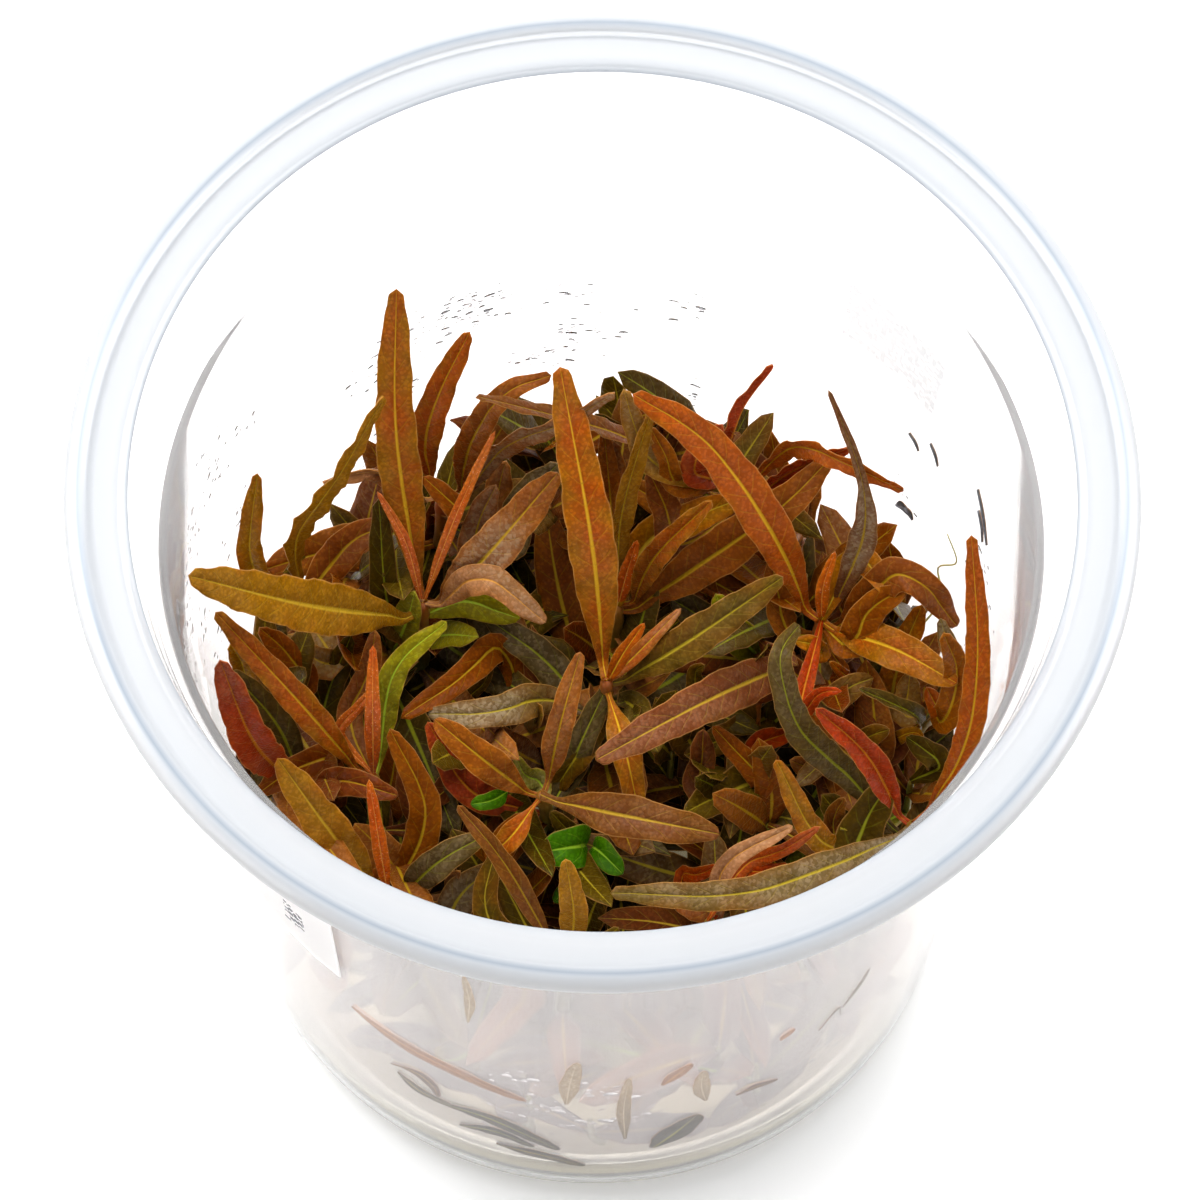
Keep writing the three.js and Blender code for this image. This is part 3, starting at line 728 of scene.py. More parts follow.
def blade_surface(stations, rows, columns, rng, wave=0.3, furled=0.0):
    """Vertices, faces, map and way along of a blade with a rounded tip, its outer half furled by a share."""
    midribs, sides, ups, halves, lifts = (np.array([s[i] for s in stations], float) for i in range(5))
    knots = np.concatenate([[0], np.cumsum(np.linalg.norm(np.diff(midribs, axis=0), axis=1))])
    length = knots[-1]
    places = length * (1 - (1 - np.linspace(0, 1, rows)) ** TIP_CROWDING)
    way = places / length
    middle, side, above = (smooth_through(knots, row, places) for row in (midribs, sides, ups))
    before_tip = np.minimum(places, knots[-2])
    half = np.maximum(smooth_through(knots[:-1], halves[:-1], before_tip), LEAST_HALF)
    lift = np.maximum(smooth_through(knots[:-1], lifts[:-1], before_tip), 0)
    half *= 1 + BLUNT_TIP * np.clip((way - BLUNT_FROM) / BLUNT_RUN, 0, 1)
    end = max((1 + BLUNT_TIP) * TIP_ROUNDING * halves[-2], LEAST_TIP)
    round_end = np.sqrt(np.clip(1 - np.clip((places - (length - end)) / end, 0, 0.999) ** 2, 0, 1))
    half, lift = half * round_end, lift * round_end
    half *= 1 - furled * np.clip((way - FURLED_FROM) / FURL_RUN, 0, 1)
    side /= np.linalg.norm(side, axis=1)[:, None]
    above -= side * np.sum(above * side, axis=1)[:, None]
    above /= np.linalg.norm(above, axis=1)[:, None]

    phase, pitch = rng.uniform(0, LAST_PHASE), rng.uniform(*RIPPLE_LENGTHS)
    v = columns[None, :]
    a = np.abs(v)
    shift = np.sign(v) * OTHER_SIDE_SHIFT
    ripple = np.sin(RIPPLE_TURN * places[:, None] / pitch + phase + shift)
    ripple = ripple + 0.5 * np.sin(SMALL_RIPPLE_TURN * places[:, None] / pitch + 2 * phase - shift)
    fine = np.minimum(1, half / FULL_RIPPLE_HALF)[:, None]
    heave = wave * fine * ripple * a ** 2
    puff = PUFF * half[:, None] * a * (1 - a) * 1.6 - GROOVE * fine * np.exp(-(v / GROOVE_WIDTH) ** 2)
    flat = half[:, None] * v * (1 + MARGIN_SWAY * np.roll(ripple, 3, axis=0))
    rise = lift[:, None] * a + heave + puff
    body = BLADE_THICK * (MARGIN_THICKNESS + (1 - MARGIN_THICKNESS) * (1 - a ** 3))
    keel = KEEL * np.minimum(1, 0.35 + half)[:, None] * np.exp(-(v / KEEL_WIDTH) ** 2)
    keel = keel * (1 - KEEL_FADE * places / length)[:, None]
    across = middle[:, None] + flat[..., None] * side[:, None]
    top = across + (rise + body / 2)[..., None] * above[:, None]
    under = across + (rise - body / 2 - keel)[..., None] * above[:, None]

    vertices = np.concatenate([top.reshape(-1, 3), under.reshape(-1, 3)])
    broad, narrow = sheet_faces(rows, len(columns))
    u = np.tile(np.repeat(places / MAP_LENGTH, len(columns)), 2)
    w = np.tile((columns + 1) / 2, rows * 2)
    return vertices, broad + narrow, np.stack([u, w], 1), np.tile(np.repeat(way, len(columns)), 2)


def leaf_object(name, blades, material):
    """One object of one or more blades, each with its place on the leaf, its own tone of colour and its share
    of painted sheen.
    """
    vertices, faces, uvs, ways, tones, painted_sheens = [], [], [], [], [], []
    start = 0
    for (points, quads, uv, way), tone, painted_sheen in blades:
        faces += [tuple(i + start for i in quad) for quad in quads]
        vertices.append(points * MM)
        uvs.append(uv)
        ways.append(way)
        tones.append(np.full(len(points), tone))
        painted_sheens.append(np.full(len(points), painted_sheen))
        start += len(points)
    lists = (vertices, uvs, ways, tones, painted_sheens)
    vertices, uvs, ways, tones, painted_sheens = (np.concatenate(part) for part in lists)
    mesh = bpy.data.meshes.new(name)
    mesh.from_pydata(vertices.tolist(), [], faces)
    corners = np.empty(len(mesh.loops), dtype=np.int64)
    mesh.loops.foreach_get("vertex_index", corners)
    mesh.uv_layers.new(name="UVMap").data.foreach_set("uv", uvs[corners].astype(np.float32).ravel())
    for attribute, values in (("along", ways), ("tone", tones), ("painted_sheen", painted_sheens)):
        mesh.attributes.new(attribute, "FLOAT", "POINT").data.foreach_set("value", values.astype(np.float32))
    mesh.polygons.foreach_set("use_smooth", [True] * len(faces))
    mesh.materials.append(material)
    return link(bpy.data.objects.new(name, mesh))


def nearest_on_stems(point):
    """The point on any stem that is nearest to the given one."""
    points = np.concatenate(list(stem_paths.values()))
    return points[np.argmin(np.linalg.norm(points - point, axis=1))]


# How much painted sheen, grey patches that stand in for reflected light, each leaf's colour carries.
LEAF_PAINTED_SHEEN = {
    "front_long_leaf": 0.6, "right_tall_leaf": 0.6, "grey_arching_leaf": 0.6, "left_broad_leaf": 0.5,
    "left_rose_leaf": 0.5, "back_left_crossing_leaf": 0.5, "front_right_leaf": 0.3, "plum_leaf": 0.12,
    "front_plum_leaf": 0.1, "left_red_leaf": 0.2, "front_left_dark_leaf": 0.2, "forest_strap_leaf": 0.15,
    "deep_middle_leaf": 0.25, "front_upright_leaf": 0.15, "deep_left_leaf": 0.15,
}
FAINT_PAINTED_SHEEN = 0.06
FURLED = {"right_tall_leaf": 0.6}
leaf_slots = {part["node"]: part["material_slot"] for part in frame["record"]["subparts"]
              if part["material_slot"].endswith("_leaf")}
for number, (leaf_name, leaf_slot) in enumerate(sorted(leaf_slots.items())):
    rng = random.Random(number)
    stations = leaf_stations(nodes[leaf_name])
    first = stations[0]
    root = nearest_on_stems(np.array(first[0]))
    stations.insert(0, (root, first[1], first[2], first[3] * STALK_FOOT, 0))
    blade = blade_surface(stations, LEAF_ROWS, LEAF_COLUMNS, rng, furled=FURLED.get(leaf_name, 0))
    blade_look = (blade, rng.uniform(0.1, 0.6), LEAF_PAINTED_SHEEN.get(leaf_name, FAINT_PAINTED_SHEEN))
    leaf = leaf_object(leaf_name + "_fine", [blade_look], leaf_materials[leaf_slot.removesuffix("_leaf")])
    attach(leaf, "root")
    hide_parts(leaf_name)


# Small leaves: the young leaves at the crowns, red and dotted with pale glands, and a few low leaves of the
# tall shoots. Each grows from its shoot at a part of its length, along the points given, and has the full
# width given.
FACE_WAY = Vector((0, -0.42, 0.91)).normalized()
LEAF_OUTLINE = ((0, 0.22), (0.1, 0.42), (0.24, 0.8), (0.4, 1), (0.57, 0.97), (0.72, 0.8), (0.86, 0.56),
                (0.955, 0.32), (1, 0))
LEAF_FOLD = math.radians(14)
MIDRIB_STEPS = 60
SMALL_WAVE = 0.25
# Shares of painted sheen, one picked at random for each small leaf.
SMALL_PAINTED_SHEENS = (0, 0, 0.15, 0.4)
SMALL_ROWS = 22
SMALL_COLUMNS = np.array([-1, -0.9, -0.65, -0.3, -0.08, 0, 0.08, 0.3, 0.65, 0.9, 1])
SMALL_LEAVES = [
    ("young", "a", 0.985, ((-22, 16, 58), (-25, 19, 64)), 1.3),
    ("young", "a", 0.985, ((-16, 18, 62), (-12, 23, 72)), 1.4),
    ("amber", "b", 0.985, ((3, 5, 54), (5, 7, 57)), 1.8),
    ("amber", "b", 0.985, ((5, 5, 55), (9, 8, 59)), 1.8),
    ("young", "p", 0.985, ((3, 16, 51), (4, 18, 55)), 1.8),
    ("young", "d", 0.985, ((25, 13, 56), (26, 15, 60)), 1.6),
    ("young", "g", 0.985, ((-25, -2, 52), (-25, 3, 58)), 1.9),
    ("young", "h", 0.985, ((-24, -15, 46), (-25, -11, 53)), 1.8),
    ("olive", "n", 0.985, ((0, -27, 43), (3, -25, 46)), 2.4),
    ("forest", "a", 0.5, ((-24, 13, 46), (-25, 20, 60)), 3.9),
    ("forest", "s", 0.75, ((-31, 4, 39), (-28, 9, 47)), 4),
    ("umber", "k", 0.75, ((-14, 23, 46), (-11, 27, 56)), 4.2),
    ("olive", "b", 0.75, ((-1, -1, 42), (-5, -5, 35)), 3.5),
    ("olive", "n", 0.7, ((-12, -20, 38), (-11, -15, 43)), 3.6),
    ("umber", "h", 0.8, ((-19, -10, 42), (-23, -4, 51)), 4),
    ("olive", "d", 0.5, ((18, 4, 36), (10, -1, 38)), 4.4),
    ("olive", "l", 0.95, ((40, 5, 49), (38, 9, 56)), 2.8),
    ("umber", "m", 0.6, ((8, 26, 46), (2, 28, 50)), 4.2),
]

TONES["young"] = ("b2480a", "bc600c", "d08a3a")
leaf_materials["young"] = leaf_material("young", 1.0)


def stations_along(points, width, outline=LEAF_OUTLINE, face_way=FACE_WAY):
    """Stations of a leaf whose midrib runs through the points given, its face turned to the way given."""
    path = curve_through(points, MIDRIB_STEPS)
    along = np.gradient(path, axis=0)
    stations = []
    for part, wide in outline:
        i = round(part * (MIDRIB_STEPS - 1))
        forward = Vector(along[i]).normalized()
        side = forward.cross(face_way).normalized()
        half = width / 2 * wide
        flat_half, edge_lift = half * math.cos(LEAF_FOLD), half * math.sin(LEAF_FOLD)
        stations.append((path[i], side, side.cross(forward), flat_half, edge_lift))
    return stations


def leaves_by_tone(name, rows):
    """One object for each tone of leaf, with a blade for each row of tone, points of the midrib and width."""
    made = {}
    for number, (tone, points, width) in enumerate(rows):
        rng = random.Random(number)
        blade = blade_surface(stations_along(points, width), SMALL_ROWS, SMALL_COLUMNS, rng, SMALL_WAVE)
        made.setdefault(tone, []).append((blade, rng.uniform(0.05, 0.7), rng.choice(SMALL_PAINTED_SHEENS)))
    for tone, blades in made.items():
        leaves = leaf_object(f"{tone}_{name}", blades, leaf_materials[tone])
        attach(leaves, "root")


small_rows = []
for tone, shoot, part, points, width in SMALL_LEAVES:
    small_rows.append((tone, (stem_paths[shoot][round(part * (STEM_STEPS - 1))], *points), width))
leaves_by_tone("small_leaves", small_rows)


# Second leaves: the leaves that show between the top ones, darker and partly hidden. Each grows from the
# nearest stem by a thin stalk, along the points given, and has the full width given.
SECOND_LEAVES = [
    ("umber", ((-28, 1, 42), (-26, 4, 47), (-25, 7, 53)), 3.2),
    ("young", ((-29, -2, 45), (-27, -1, 49), (-25, 0, 53)), 1.5),
    ("umber", ((-33, 4, 44), (-35, 6, 48), (-38, 7, 53)), 3.6),
    ("gold", ((-30, 7, 43), (-33, 7, 46), (-35, 8, 49)), 4),
    ("gold", ((-39, 3, 44), (-40, 4, 50), (-41, 4, 55)), 3),
    ("ochre", ((-29, -3, 40), (-34, -6, 43), (-38, -10, 45)), 3.6),
    ("amber", ((-33, -8, 38), (-34, -9, 40), (-36, -10, 41)), 1.8),
    ("olive", ((-30, -11, 32), (-33, -10, 35), (-34, -10, 38)), 4.2),
    ("plum", ((-20, -9, 34), (-21, -7, 38), (-22, -5, 42)), 3),
    ("umber", ((-11, 10, 42), (-16, 4, 46), (-22, -1, 47)), 3.7),
    ("olive", ((-15, 5, 38), (-13, 6, 41), (-12, 8, 44)), 1.5),
    ("olive", ((-16, -18, 30), (-14, -16, 34), (-10, -15, 38)), 4.2),
    ("umber", ((-12, -13, 34), (-10, -12, 38), (-8, -10, 42)), 4.2),
    ("rose", ((-16, -16, 30), (-16, -15, 33), (-15, -15, 36)), 2),
    ("olive", ((11, 5, 44), (11, 6, 46), (12, 6, 48)), 2.6),
    ("gold", ((25, 8, 48), (24, 8, 50), (22, 8, 51)), 2.6),
    ("rose", ((25, 5, 43), (24, 6, 46), (23, 6, 49)), 3),
    ("olive", ((26, 3, 44), (28, 4, 47), (31, 5, 48)), 4.2),
    ("crimson", ((23, -2, 54), (24, -1, 56), (26, -1, 58), (27, -1, 58)), 2.2),
    ("amber", ((28, 6, 46), (27, 6, 48), (26, 6, 50)), 1.6),
    ("gold", ((34, 4, 42), (34, 7, 48), (36, 11, 55)), 3.9),
    ("lime", ((32, 6, 42), (32, 7, 46), (32, 8, 49)), 3.6),
    ("gold", ((35, 3, 42), (35, 4, 46), (35, 5, 50)), 3.4),
    ("umber", ((39, 0, 48), (40, 3, 54), (38, 5, 61)), 3.6),
    ("amber", ((39, 2, 44), (38, 3, 46), (37, 4, 48)), 2.4),
    ("olive", ((30, 0, 40), (31, 0, 43), (33, 0, 45)), 3.2),
    ("plum", ((34, 1, 38), (32, 2, 42), (30, 4, 44)), 4),
    ("amber", ((34, 1, 40), (36, 1, 42), (37, 0, 43)), 1.8),
    ("forest", ((39, -2, 40), (37, -1, 42), (35, 0, 43)), 3.4),
    ("ochre", ((12, -5, 38), (12, -3, 42), (12, -1, 46)), 3.7),
    ("umber", ((19, -5, 40), (16, -3, 44), (13, -1, 47)), 3.1),
    ("olive", ((19, -4, 38), (14, -7, 41), (10, -10, 43)), 5),
    ("crimson", ((19, 1, 38), (21, 1, 40), (22, 1, 42)), 3.2),
    ("umber", ((27, -2, 36), (24, -2, 38), (22, -2, 40)), 3.4),
    ("plum", ((27, -11, 36), (27, -9, 40), (28, -8, 44)), 3),
    ("forest", ((30, -12, 38), (31, -9, 42), (33, -7, 46)), 5.4),
    ("crimson", ((17, -15, 40), (21, -15, 45), (25, -14, 50)), 1.9),
    ("crimson", ((16, -15, 38), (19, -16, 41), (22, -16, 43)), 2.5),
    ("crimson", ((10, -14, 34), (12, -15, 37), (14, -15, 40)), 2.2),
    ("umber", ((14, -20, 36), (11, -20, 40), (9, -20, 43)), 3.2),
    ("forest", ((-4, -5, 36), (-2, -2, 42), (1, 3, 48)), 3.7),
    ("lime", ((-6, -5, 38), (-8, -5, 41), (-9, -4, 44)), 2.6),
    ("olive", ((-1, -11, 34), (-3, -10, 37), (-5, -9, 40)), 3),
    ("gold", ((5, 23, 66), (3, 25, 72), (2, 26, 77)), 3.2),
    ("umber", ((8, 22, 62), (7, 23, 66), (5, 25, 70)), 2.8),
    ("umber", ((9, 19, 52), (7, 21, 58), (5, 23, 63)), 4.2),
    ("gold", ((5, 19, 52), (10, 20, 57), (16, 21, 61)), 4.6),
    ("forest", ((13, 13, 42), (11, 14, 44), (8, 15, 46)), 5),
    ("umber", ((22, 11, 46), (20, 14, 51), (19, 16, 56)), 3.2),
    ("lime", ((18, 10, 42), (15, 11, 47), (13, 13, 52)), 4.2),
    ("umber", ((28, 8, 50), (30, 10, 55), (34, 11, 60)), 4.2),
    ("umber", ((-16, 19, 60), (-18, 20, 62), (-20, 21, 64)), 3.2),
    ("forest", ((-11, 20, 48), (-9, 23, 54), (-5, 25, 60)), 4.4),
    ("umber", ((-15, 19, 46), (-14, 21, 52), (-12, 23, 58)), 4),
    ("amber", ((0, 23, 50), (1, 24, 57), (1, 26, 64)), 4),
    ("umber", ((-30, 17, 50), (-28, 18, 53), (-23, 19, 56)), 4.4),
    ("crimson", ((10, 23, 64), (11, 24, 67), (13, 25, 71)), 3.4),
    ("olive", ((3, 3, 44), (5, 0, 46), (7, -4, 46)), 3.6),
    ("gold", ((29, 16, 56), (31, 13, 58), (34, 10, 58)), 3.4),
    ("lime", ((-15, 14, 46), (-12, 13, 46), (-9, 12, 46)), 4),
]

all_stem_points = np.concatenate([*stem_paths.values(), *low_paths])
second_rows = []
for tone, points, width in SECOND_LEAVES:
    below = all_stem_points[all_stem_points[:, 2] < points[0][2]]
    root = below[np.argmin(np.linalg.norm(below - points[0], axis=1))]
    second_rows.append((tone, (root, *points), width))
leaves_by_tone("second_leaves", second_rows)


# Undergrowth: the pairs of leaves low on every shoot, each pair turned across the one below. A few shapes of
# blade repeat, each copy with its own turn, size and tone, and they bend up before they reach the wall.
LOW_BLADES = ((0.0, 0.5), (-0.12, 0.3), (-0.28, -0.4), (0.1, -0.5), (-0.18, 0.9))
BLADE_LENGTH = 24
BLADE_WIDTH = 5
PAIR_SPACING = 6.4
LOWEST_PAIR = 16
REACH = 41.3
LOW_TONES = {"olive": 0.28, "umber": 0.30, "forest": 0.2, "ochre": 0.12, "plum": 0.06, "lime": 0.04}
LOW_ROWS = 9
LOW_COLUMNS = np.array([-1, -0.6, 0, 0.6, 1])
LOW_WAVE = 0.35
TALL_SHARE = 0.72
LEAST_LIFT = 12
LIFT_BY_HEIGHT = 38
LIFT_UNEVEN = 14
STEEPEST = math.radians(70)
LEAF_LIGHT_WAY = Vector((0, -0.2, 1))
OVER_TOP = 12
TRIES = 16
LIFT_STEP = 0.1
LENGTH_STEP = 0.93
TURN_STEP = 0.12


def low_blade(droop, sway):
    """A blade along X that droops and sways by parts of its length."""
    path = [(BLADE_LENGTH * t, sway * 4 * t * t, droop * BLADE_LENGTH * t * t) for t in (0, 0.33, 0.66, 1)]
    stations = stations_along(path, BLADE_WIDTH, face_way=Vector((0, 0, 1)))
    return blade_surface(stations, LOW_ROWS, LOW_COLUMNS, random.Random(3), LOW_WAVE)


def scatter_tree(name, prototypes):
    """Geometry Nodes that set a copy of one of the prototypes on each point, by its turn, size and kind."""
    tree = bpy.data.node_groups.new(name, "GeometryNodeTree")
    for socket, way, kind in (("Points", "INPUT", "Geometry"), ("Size", "INPUT", "Float"),
                              ("Material", "INPUT", "Material"), ("Geometry", "OUTPUT", "Geometry")):
        tree.interface.new_socket(socket, in_out=way, socket_type="NodeSocket" + kind)
    given = add(tree, "NodeGroupInput").outputs
    kinds = add(tree, "GeometryNodeJoinGeometry")
    for prototype in reversed(prototypes):
        whole = add(tree, "GeometryNodeObjectInfo", {"Object": prototype}).outputs["Geometry"]
        one = add(tree, "GeometryNodeGeometryToInstance", {"Geometry": whole})
        feed(tree, kinds, {"Geometry": one.outputs["Instances"]})

    def own(attribute, kind):
        """A value that each point keeps."""
        node = add(tree, "GeometryNodeInputNamedAttribute", {"Name": attribute}, data_type=kind)
        return node.outputs["Attribute"]

    turn = add(tree, "FunctionNodeEulerToRotation", {"Euler": own("turn", "FLOAT_VECTOR")})
    scale = add(tree, "ShaderNodeVectorMath", {0: own("size", "FLOAT_VECTOR"), "Scale": given["Size"]},
                operation="SCALE").outputs["Vector"]
    copies = add(tree, "GeometryNodeInstanceOnPoints", {
        "Points": given["Points"], "Instance": kinds.outputs["Geometry"], "Pick Instance": True,
        "Instance Index": own("kind", "INT"), "Rotation": turn.outputs["Rotation"], "Scale": scale})
    real = add(tree, "GeometryNodeRealizeInstances", {"Geometry": copies.outputs["Instances"]})
    painted = add(tree, "GeometryNodeSetMaterial", {"Geometry": real.outputs["Geometry"],
                                                    "Material": given["Material"]})
    add(tree, "NodeGroupOutput", {"Geometry": painted.outputs["Geometry"]})
    return tree


def scattered(name, tree, spots, material):
    """A plain mesh object of the tree's copies at the spots: place in mm, turn, size, kind and tone; each
    copy's painted sheen grows with its tone.
    """
    points = bpy.data.meshes.new(name + "_spots")
    points.from_pydata([tuple(c * MM for c in spot[0]) for spot in spots], [], [])
    for attribute, kind, part, values in (
            ("turn", "FLOAT_VECTOR", "vector", [c for spot in spots for c in spot[1]]),
            ("size", "FLOAT_VECTOR", "vector", [c for spot in spots for c in spot[2]]),
            ("kind", "INT", "value", [spot[3] for spot in spots]),
            ("tone", "FLOAT", "value", [spot[4] for spot in spots]),
            ("painted_sheen", "FLOAT", "value", [0.5 * spot[4] ** 3 for spot in spots])):
        points.attributes.new(attribute, kind, "POINT").data.foreach_set(part, values)
    holder = link(bpy.data.objects.new(name + "_spots", points))
    modifier = holder.modifiers.new("copies", "NODES")
    modifier.node_group = tree
    sockets = {item.name: item.identifier for item in tree.interface.items_tree if item.in_out == "INPUT"}
    modifier[sockets["Size"]] = 1.0
    modifier[sockets["Material"]] = material
    depsgraph = bpy.context.evaluated_depsgraph_get()
    mesh = bpy.data.meshes.new_from_object(holder.evaluated_get(depsgraph))
    mesh.name = name
    bpy.data.objects.remove(holder)
    mesh.polygons.foreach_set("use_smooth", [True] * len(mesh.polygons))
    mesh.materials.clear()
    mesh.materials.append(material)
    return link(bpy.data.objects.new(name, mesh))


low_blades = []
blade_outlines = []
for number, (droop, sway) in enumerate(LOW_BLADES):
    blade = leaf_object(f"low_blade_{number}", [(low_blade(droop, sway), 0, 0)], leaf_materials["olive"])
    blade_outlines.append([vertex.co / MM for vertex in blade.data.vertices])
    for attribute in ("tone", "painted_sheen"):
        blade.data.attributes.remove(blade.data.attributes[attribute])
    low_blades.append(blade)
low_leaf_tree = scatter_tree("low leaves", low_blades)

chance = random.Random(5)
low_spots = {tone: [] for tone in LOW_TONES}
for number, path in enumerate([*stem_paths.values(), *low_paths]):
    top = path[-1][2] if number >= len(stem_paths) else TALL_SHARE * path[-1][2]
    turn = chance.uniform(0, math.pi)
    height = LOWEST_PAIR + chance.uniform(-2, 2)
    while height < top + 1:
        joint = path[np.argmin(np.abs(path[:, 2] - height))]
        way_up = (height - LOWEST_PAIR) / max(top - LOWEST_PAIR, 1)
        for half_turn in (0, math.pi):
            aim = turn + half_turn + chance.uniform(-0.35, 0.35)
            uneven = chance.uniform(-LIFT_UNEVEN, LIFT_UNEVEN)
            lift = math.radians(LEAST_LIFT + LIFT_BY_HEIGHT * way_up + uneven)
            length = chance.uniform(0.7, 1.2)
            roll = chance.uniform(-0.5, 0.5)
            tone = chance.choices(list(LOW_TONES), list(LOW_TONES.values()))[0]
            width = chance.uniform(0.75, 1.1)
            kind = chance.randrange(len(low_blades))
            tint = chance.uniform(0, 0.8)
            to_axis = math.atan2(-joint[1], -joint[0])
            for _ in range(TRIES):
                flat_part = math.cos(lift)
                ahead = Vector((flat_part * math.cos(aim), flat_part * math.sin(aim), math.sin(lift)))
                level = LEAF_LIGHT_WAY.cross(ahead).normalized()
                level = Matrix.Rotation(roll, 3, ahead) @ level
                pose = Matrix((ahead, level, ahead.cross(level))).transposed()
                size = Vector((length, width, length))
                spots = [Vector(joint) + pose @ (point * size) for point in blade_outlines[kind]]
                if all(spot.xy.length < REACH and spot.z < top + OVER_TOP for spot in spots):
                    break
                lift = min(lift + LIFT_STEP, STEEPEST)
                length *= LENGTH_STEP
                aim += TURN_STEP * math.sin(to_axis - aim)
            low_spots[tone].append((joint, pose.to_euler(), size, kind, tint))
        height += PAIR_SPACING * chance.uniform(0.85, 1.15)
        turn += math.pi / 2 + chance.uniform(-0.2, 0.2)

for tone, spots in low_spots.items():
    leaves = scattered(tone + "_undergrowth", low_leaf_tree, spots, leaf_materials[tone])
    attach(leaves, "root")
for blade in low_blades:
    bpy.data.objects.remove(blade)


# Bright sprout: a young side shoot low at the front, with small round leaves of a clear bright green on thin
# stalks.
ROUND_OUTLINE = ((0, 0.14), (0.14, 0.5), (0.3, 0.88), (0.48, 1), (0.66, 0.94), (0.82, 0.74), (0.93, 0.46),
                 (1, 0))
TONES["sprout"] = ("3c6c02", "587c04", "8cb02a")
leaf_materials["sprout"] = leaf_material("sprout")
SPROUT_PATH = ((-1, -9, 9), (0, -11.5, 22), (-0.5, -10.5, 34.5))
SPROUT_STEPS = 20
SPROUT_RADIUS = 0.45
SPROUT_SIDES = 8
SPROUT_WAVE = 0.1
SPROUT_TONE = 0.2
SPROUT_LEAVES = [
    (((-0.5, -10.5, 34), (-2, -12.4, 38), (-6.2, -13.6, 39)), 5),
    (((-0.5, -10.5, 34), (1, -12.8, 37), (3.4, -15.2, 37)), 3.2),
    (((-0.5, -11, 30), (0.6, -14.6, 32), (1.6, -17, 32)), 2.6),
    (((-0.5, -11, 30), (-2.4, -14.5, 31), (-4.4, -16.5, 31)), 2.4),
    (((-10, -6, 38), (-12, -8, 40), (-14, -8.4, 40)), 2.2),
]
sprout_blades = []
for number, (points, width) in enumerate(SPROUT_LEAVES):
    stations = stations_along(points, width, ROUND_OUTLINE)
    blade = blade_surface(stations, SMALL_ROWS, SMALL_COLUMNS, random.Random(number), SPROUT_WAVE)
    sprout_blades.append((blade, SPROUT_TONE, 0))
sprout = leaf_object("sprout_leaves", sprout_blades, leaf_materials["sprout"])
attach(sprout, "root")

sprout_radii = np.full(SPROUT_STEPS, SPROUT_RADIUS)
sprout_tube = tube(curve_through(SPROUT_PATH, SPROUT_STEPS), sprout_radii, SPROUT_SIDES)
sprout_stem = tubes_object("sprout_stem", [sprout_tube], stem_skin)
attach(sprout_stem, "root")


# Roots: fine pale threads. They hang from the foot of each shoot into the jelly, and one curls up against
# the wall at the right.
ROOT_RADIUS = 0.14
ROOT_TAPER = (1.2, 0.5)
ROOT_STEPS = 24
ROOT_SIDES = 6
ROOT_REACH = 36
ROOTS_PER_CLUMP = 7
WALL_ROOT = [(36, 12, 45), (38.6, 14.6, 50), (38, 16.6, 53), (39.8, 16, 55.5), (38.6, 18, 59)]
root_skin, tree, shader = new_material("root threads")
root_colour = ramp(tree, clouds(tree, place_on(tree), 300), [(0, srgb("8f8a3c")), (1, srgb("c9bb7a"))])
feed(tree, shader, {"Base Color": root_colour, "Roughness": 0.5})

chance = random.Random(21)
routes = [WALL_ROOT]
for foot, _ in CLUMPS.values():
    for _ in range(ROOTS_PER_CLUMP):
        aim, reach = chance.uniform(0, 2 * math.pi), chance.uniform(2, 6)
        x, y = foot[0] + reach * math.cos(aim), foot[1] + reach * math.sin(aim)
        shrink = min(1, ROOT_REACH / math.hypot(x, y))
        routes.append([(*foot, JELLY_TOP + 1), ((foot[0] + x) / 2 + 1, (foot[1] + y) / 2 - 1, 8),
                       (x * shrink, y * shrink, chance.uniform(2.5, 6))])
root_radii = ROOT_RADIUS * np.linspace(*ROOT_TAPER, ROOT_STEPS)
root_tubes = [tube(curve_through(route, ROOT_STEPS), root_radii, ROOT_SIDES) for route in routes]
roots = tubes_object("root_threads", root_tubes, root_skin)
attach(roots, "root")


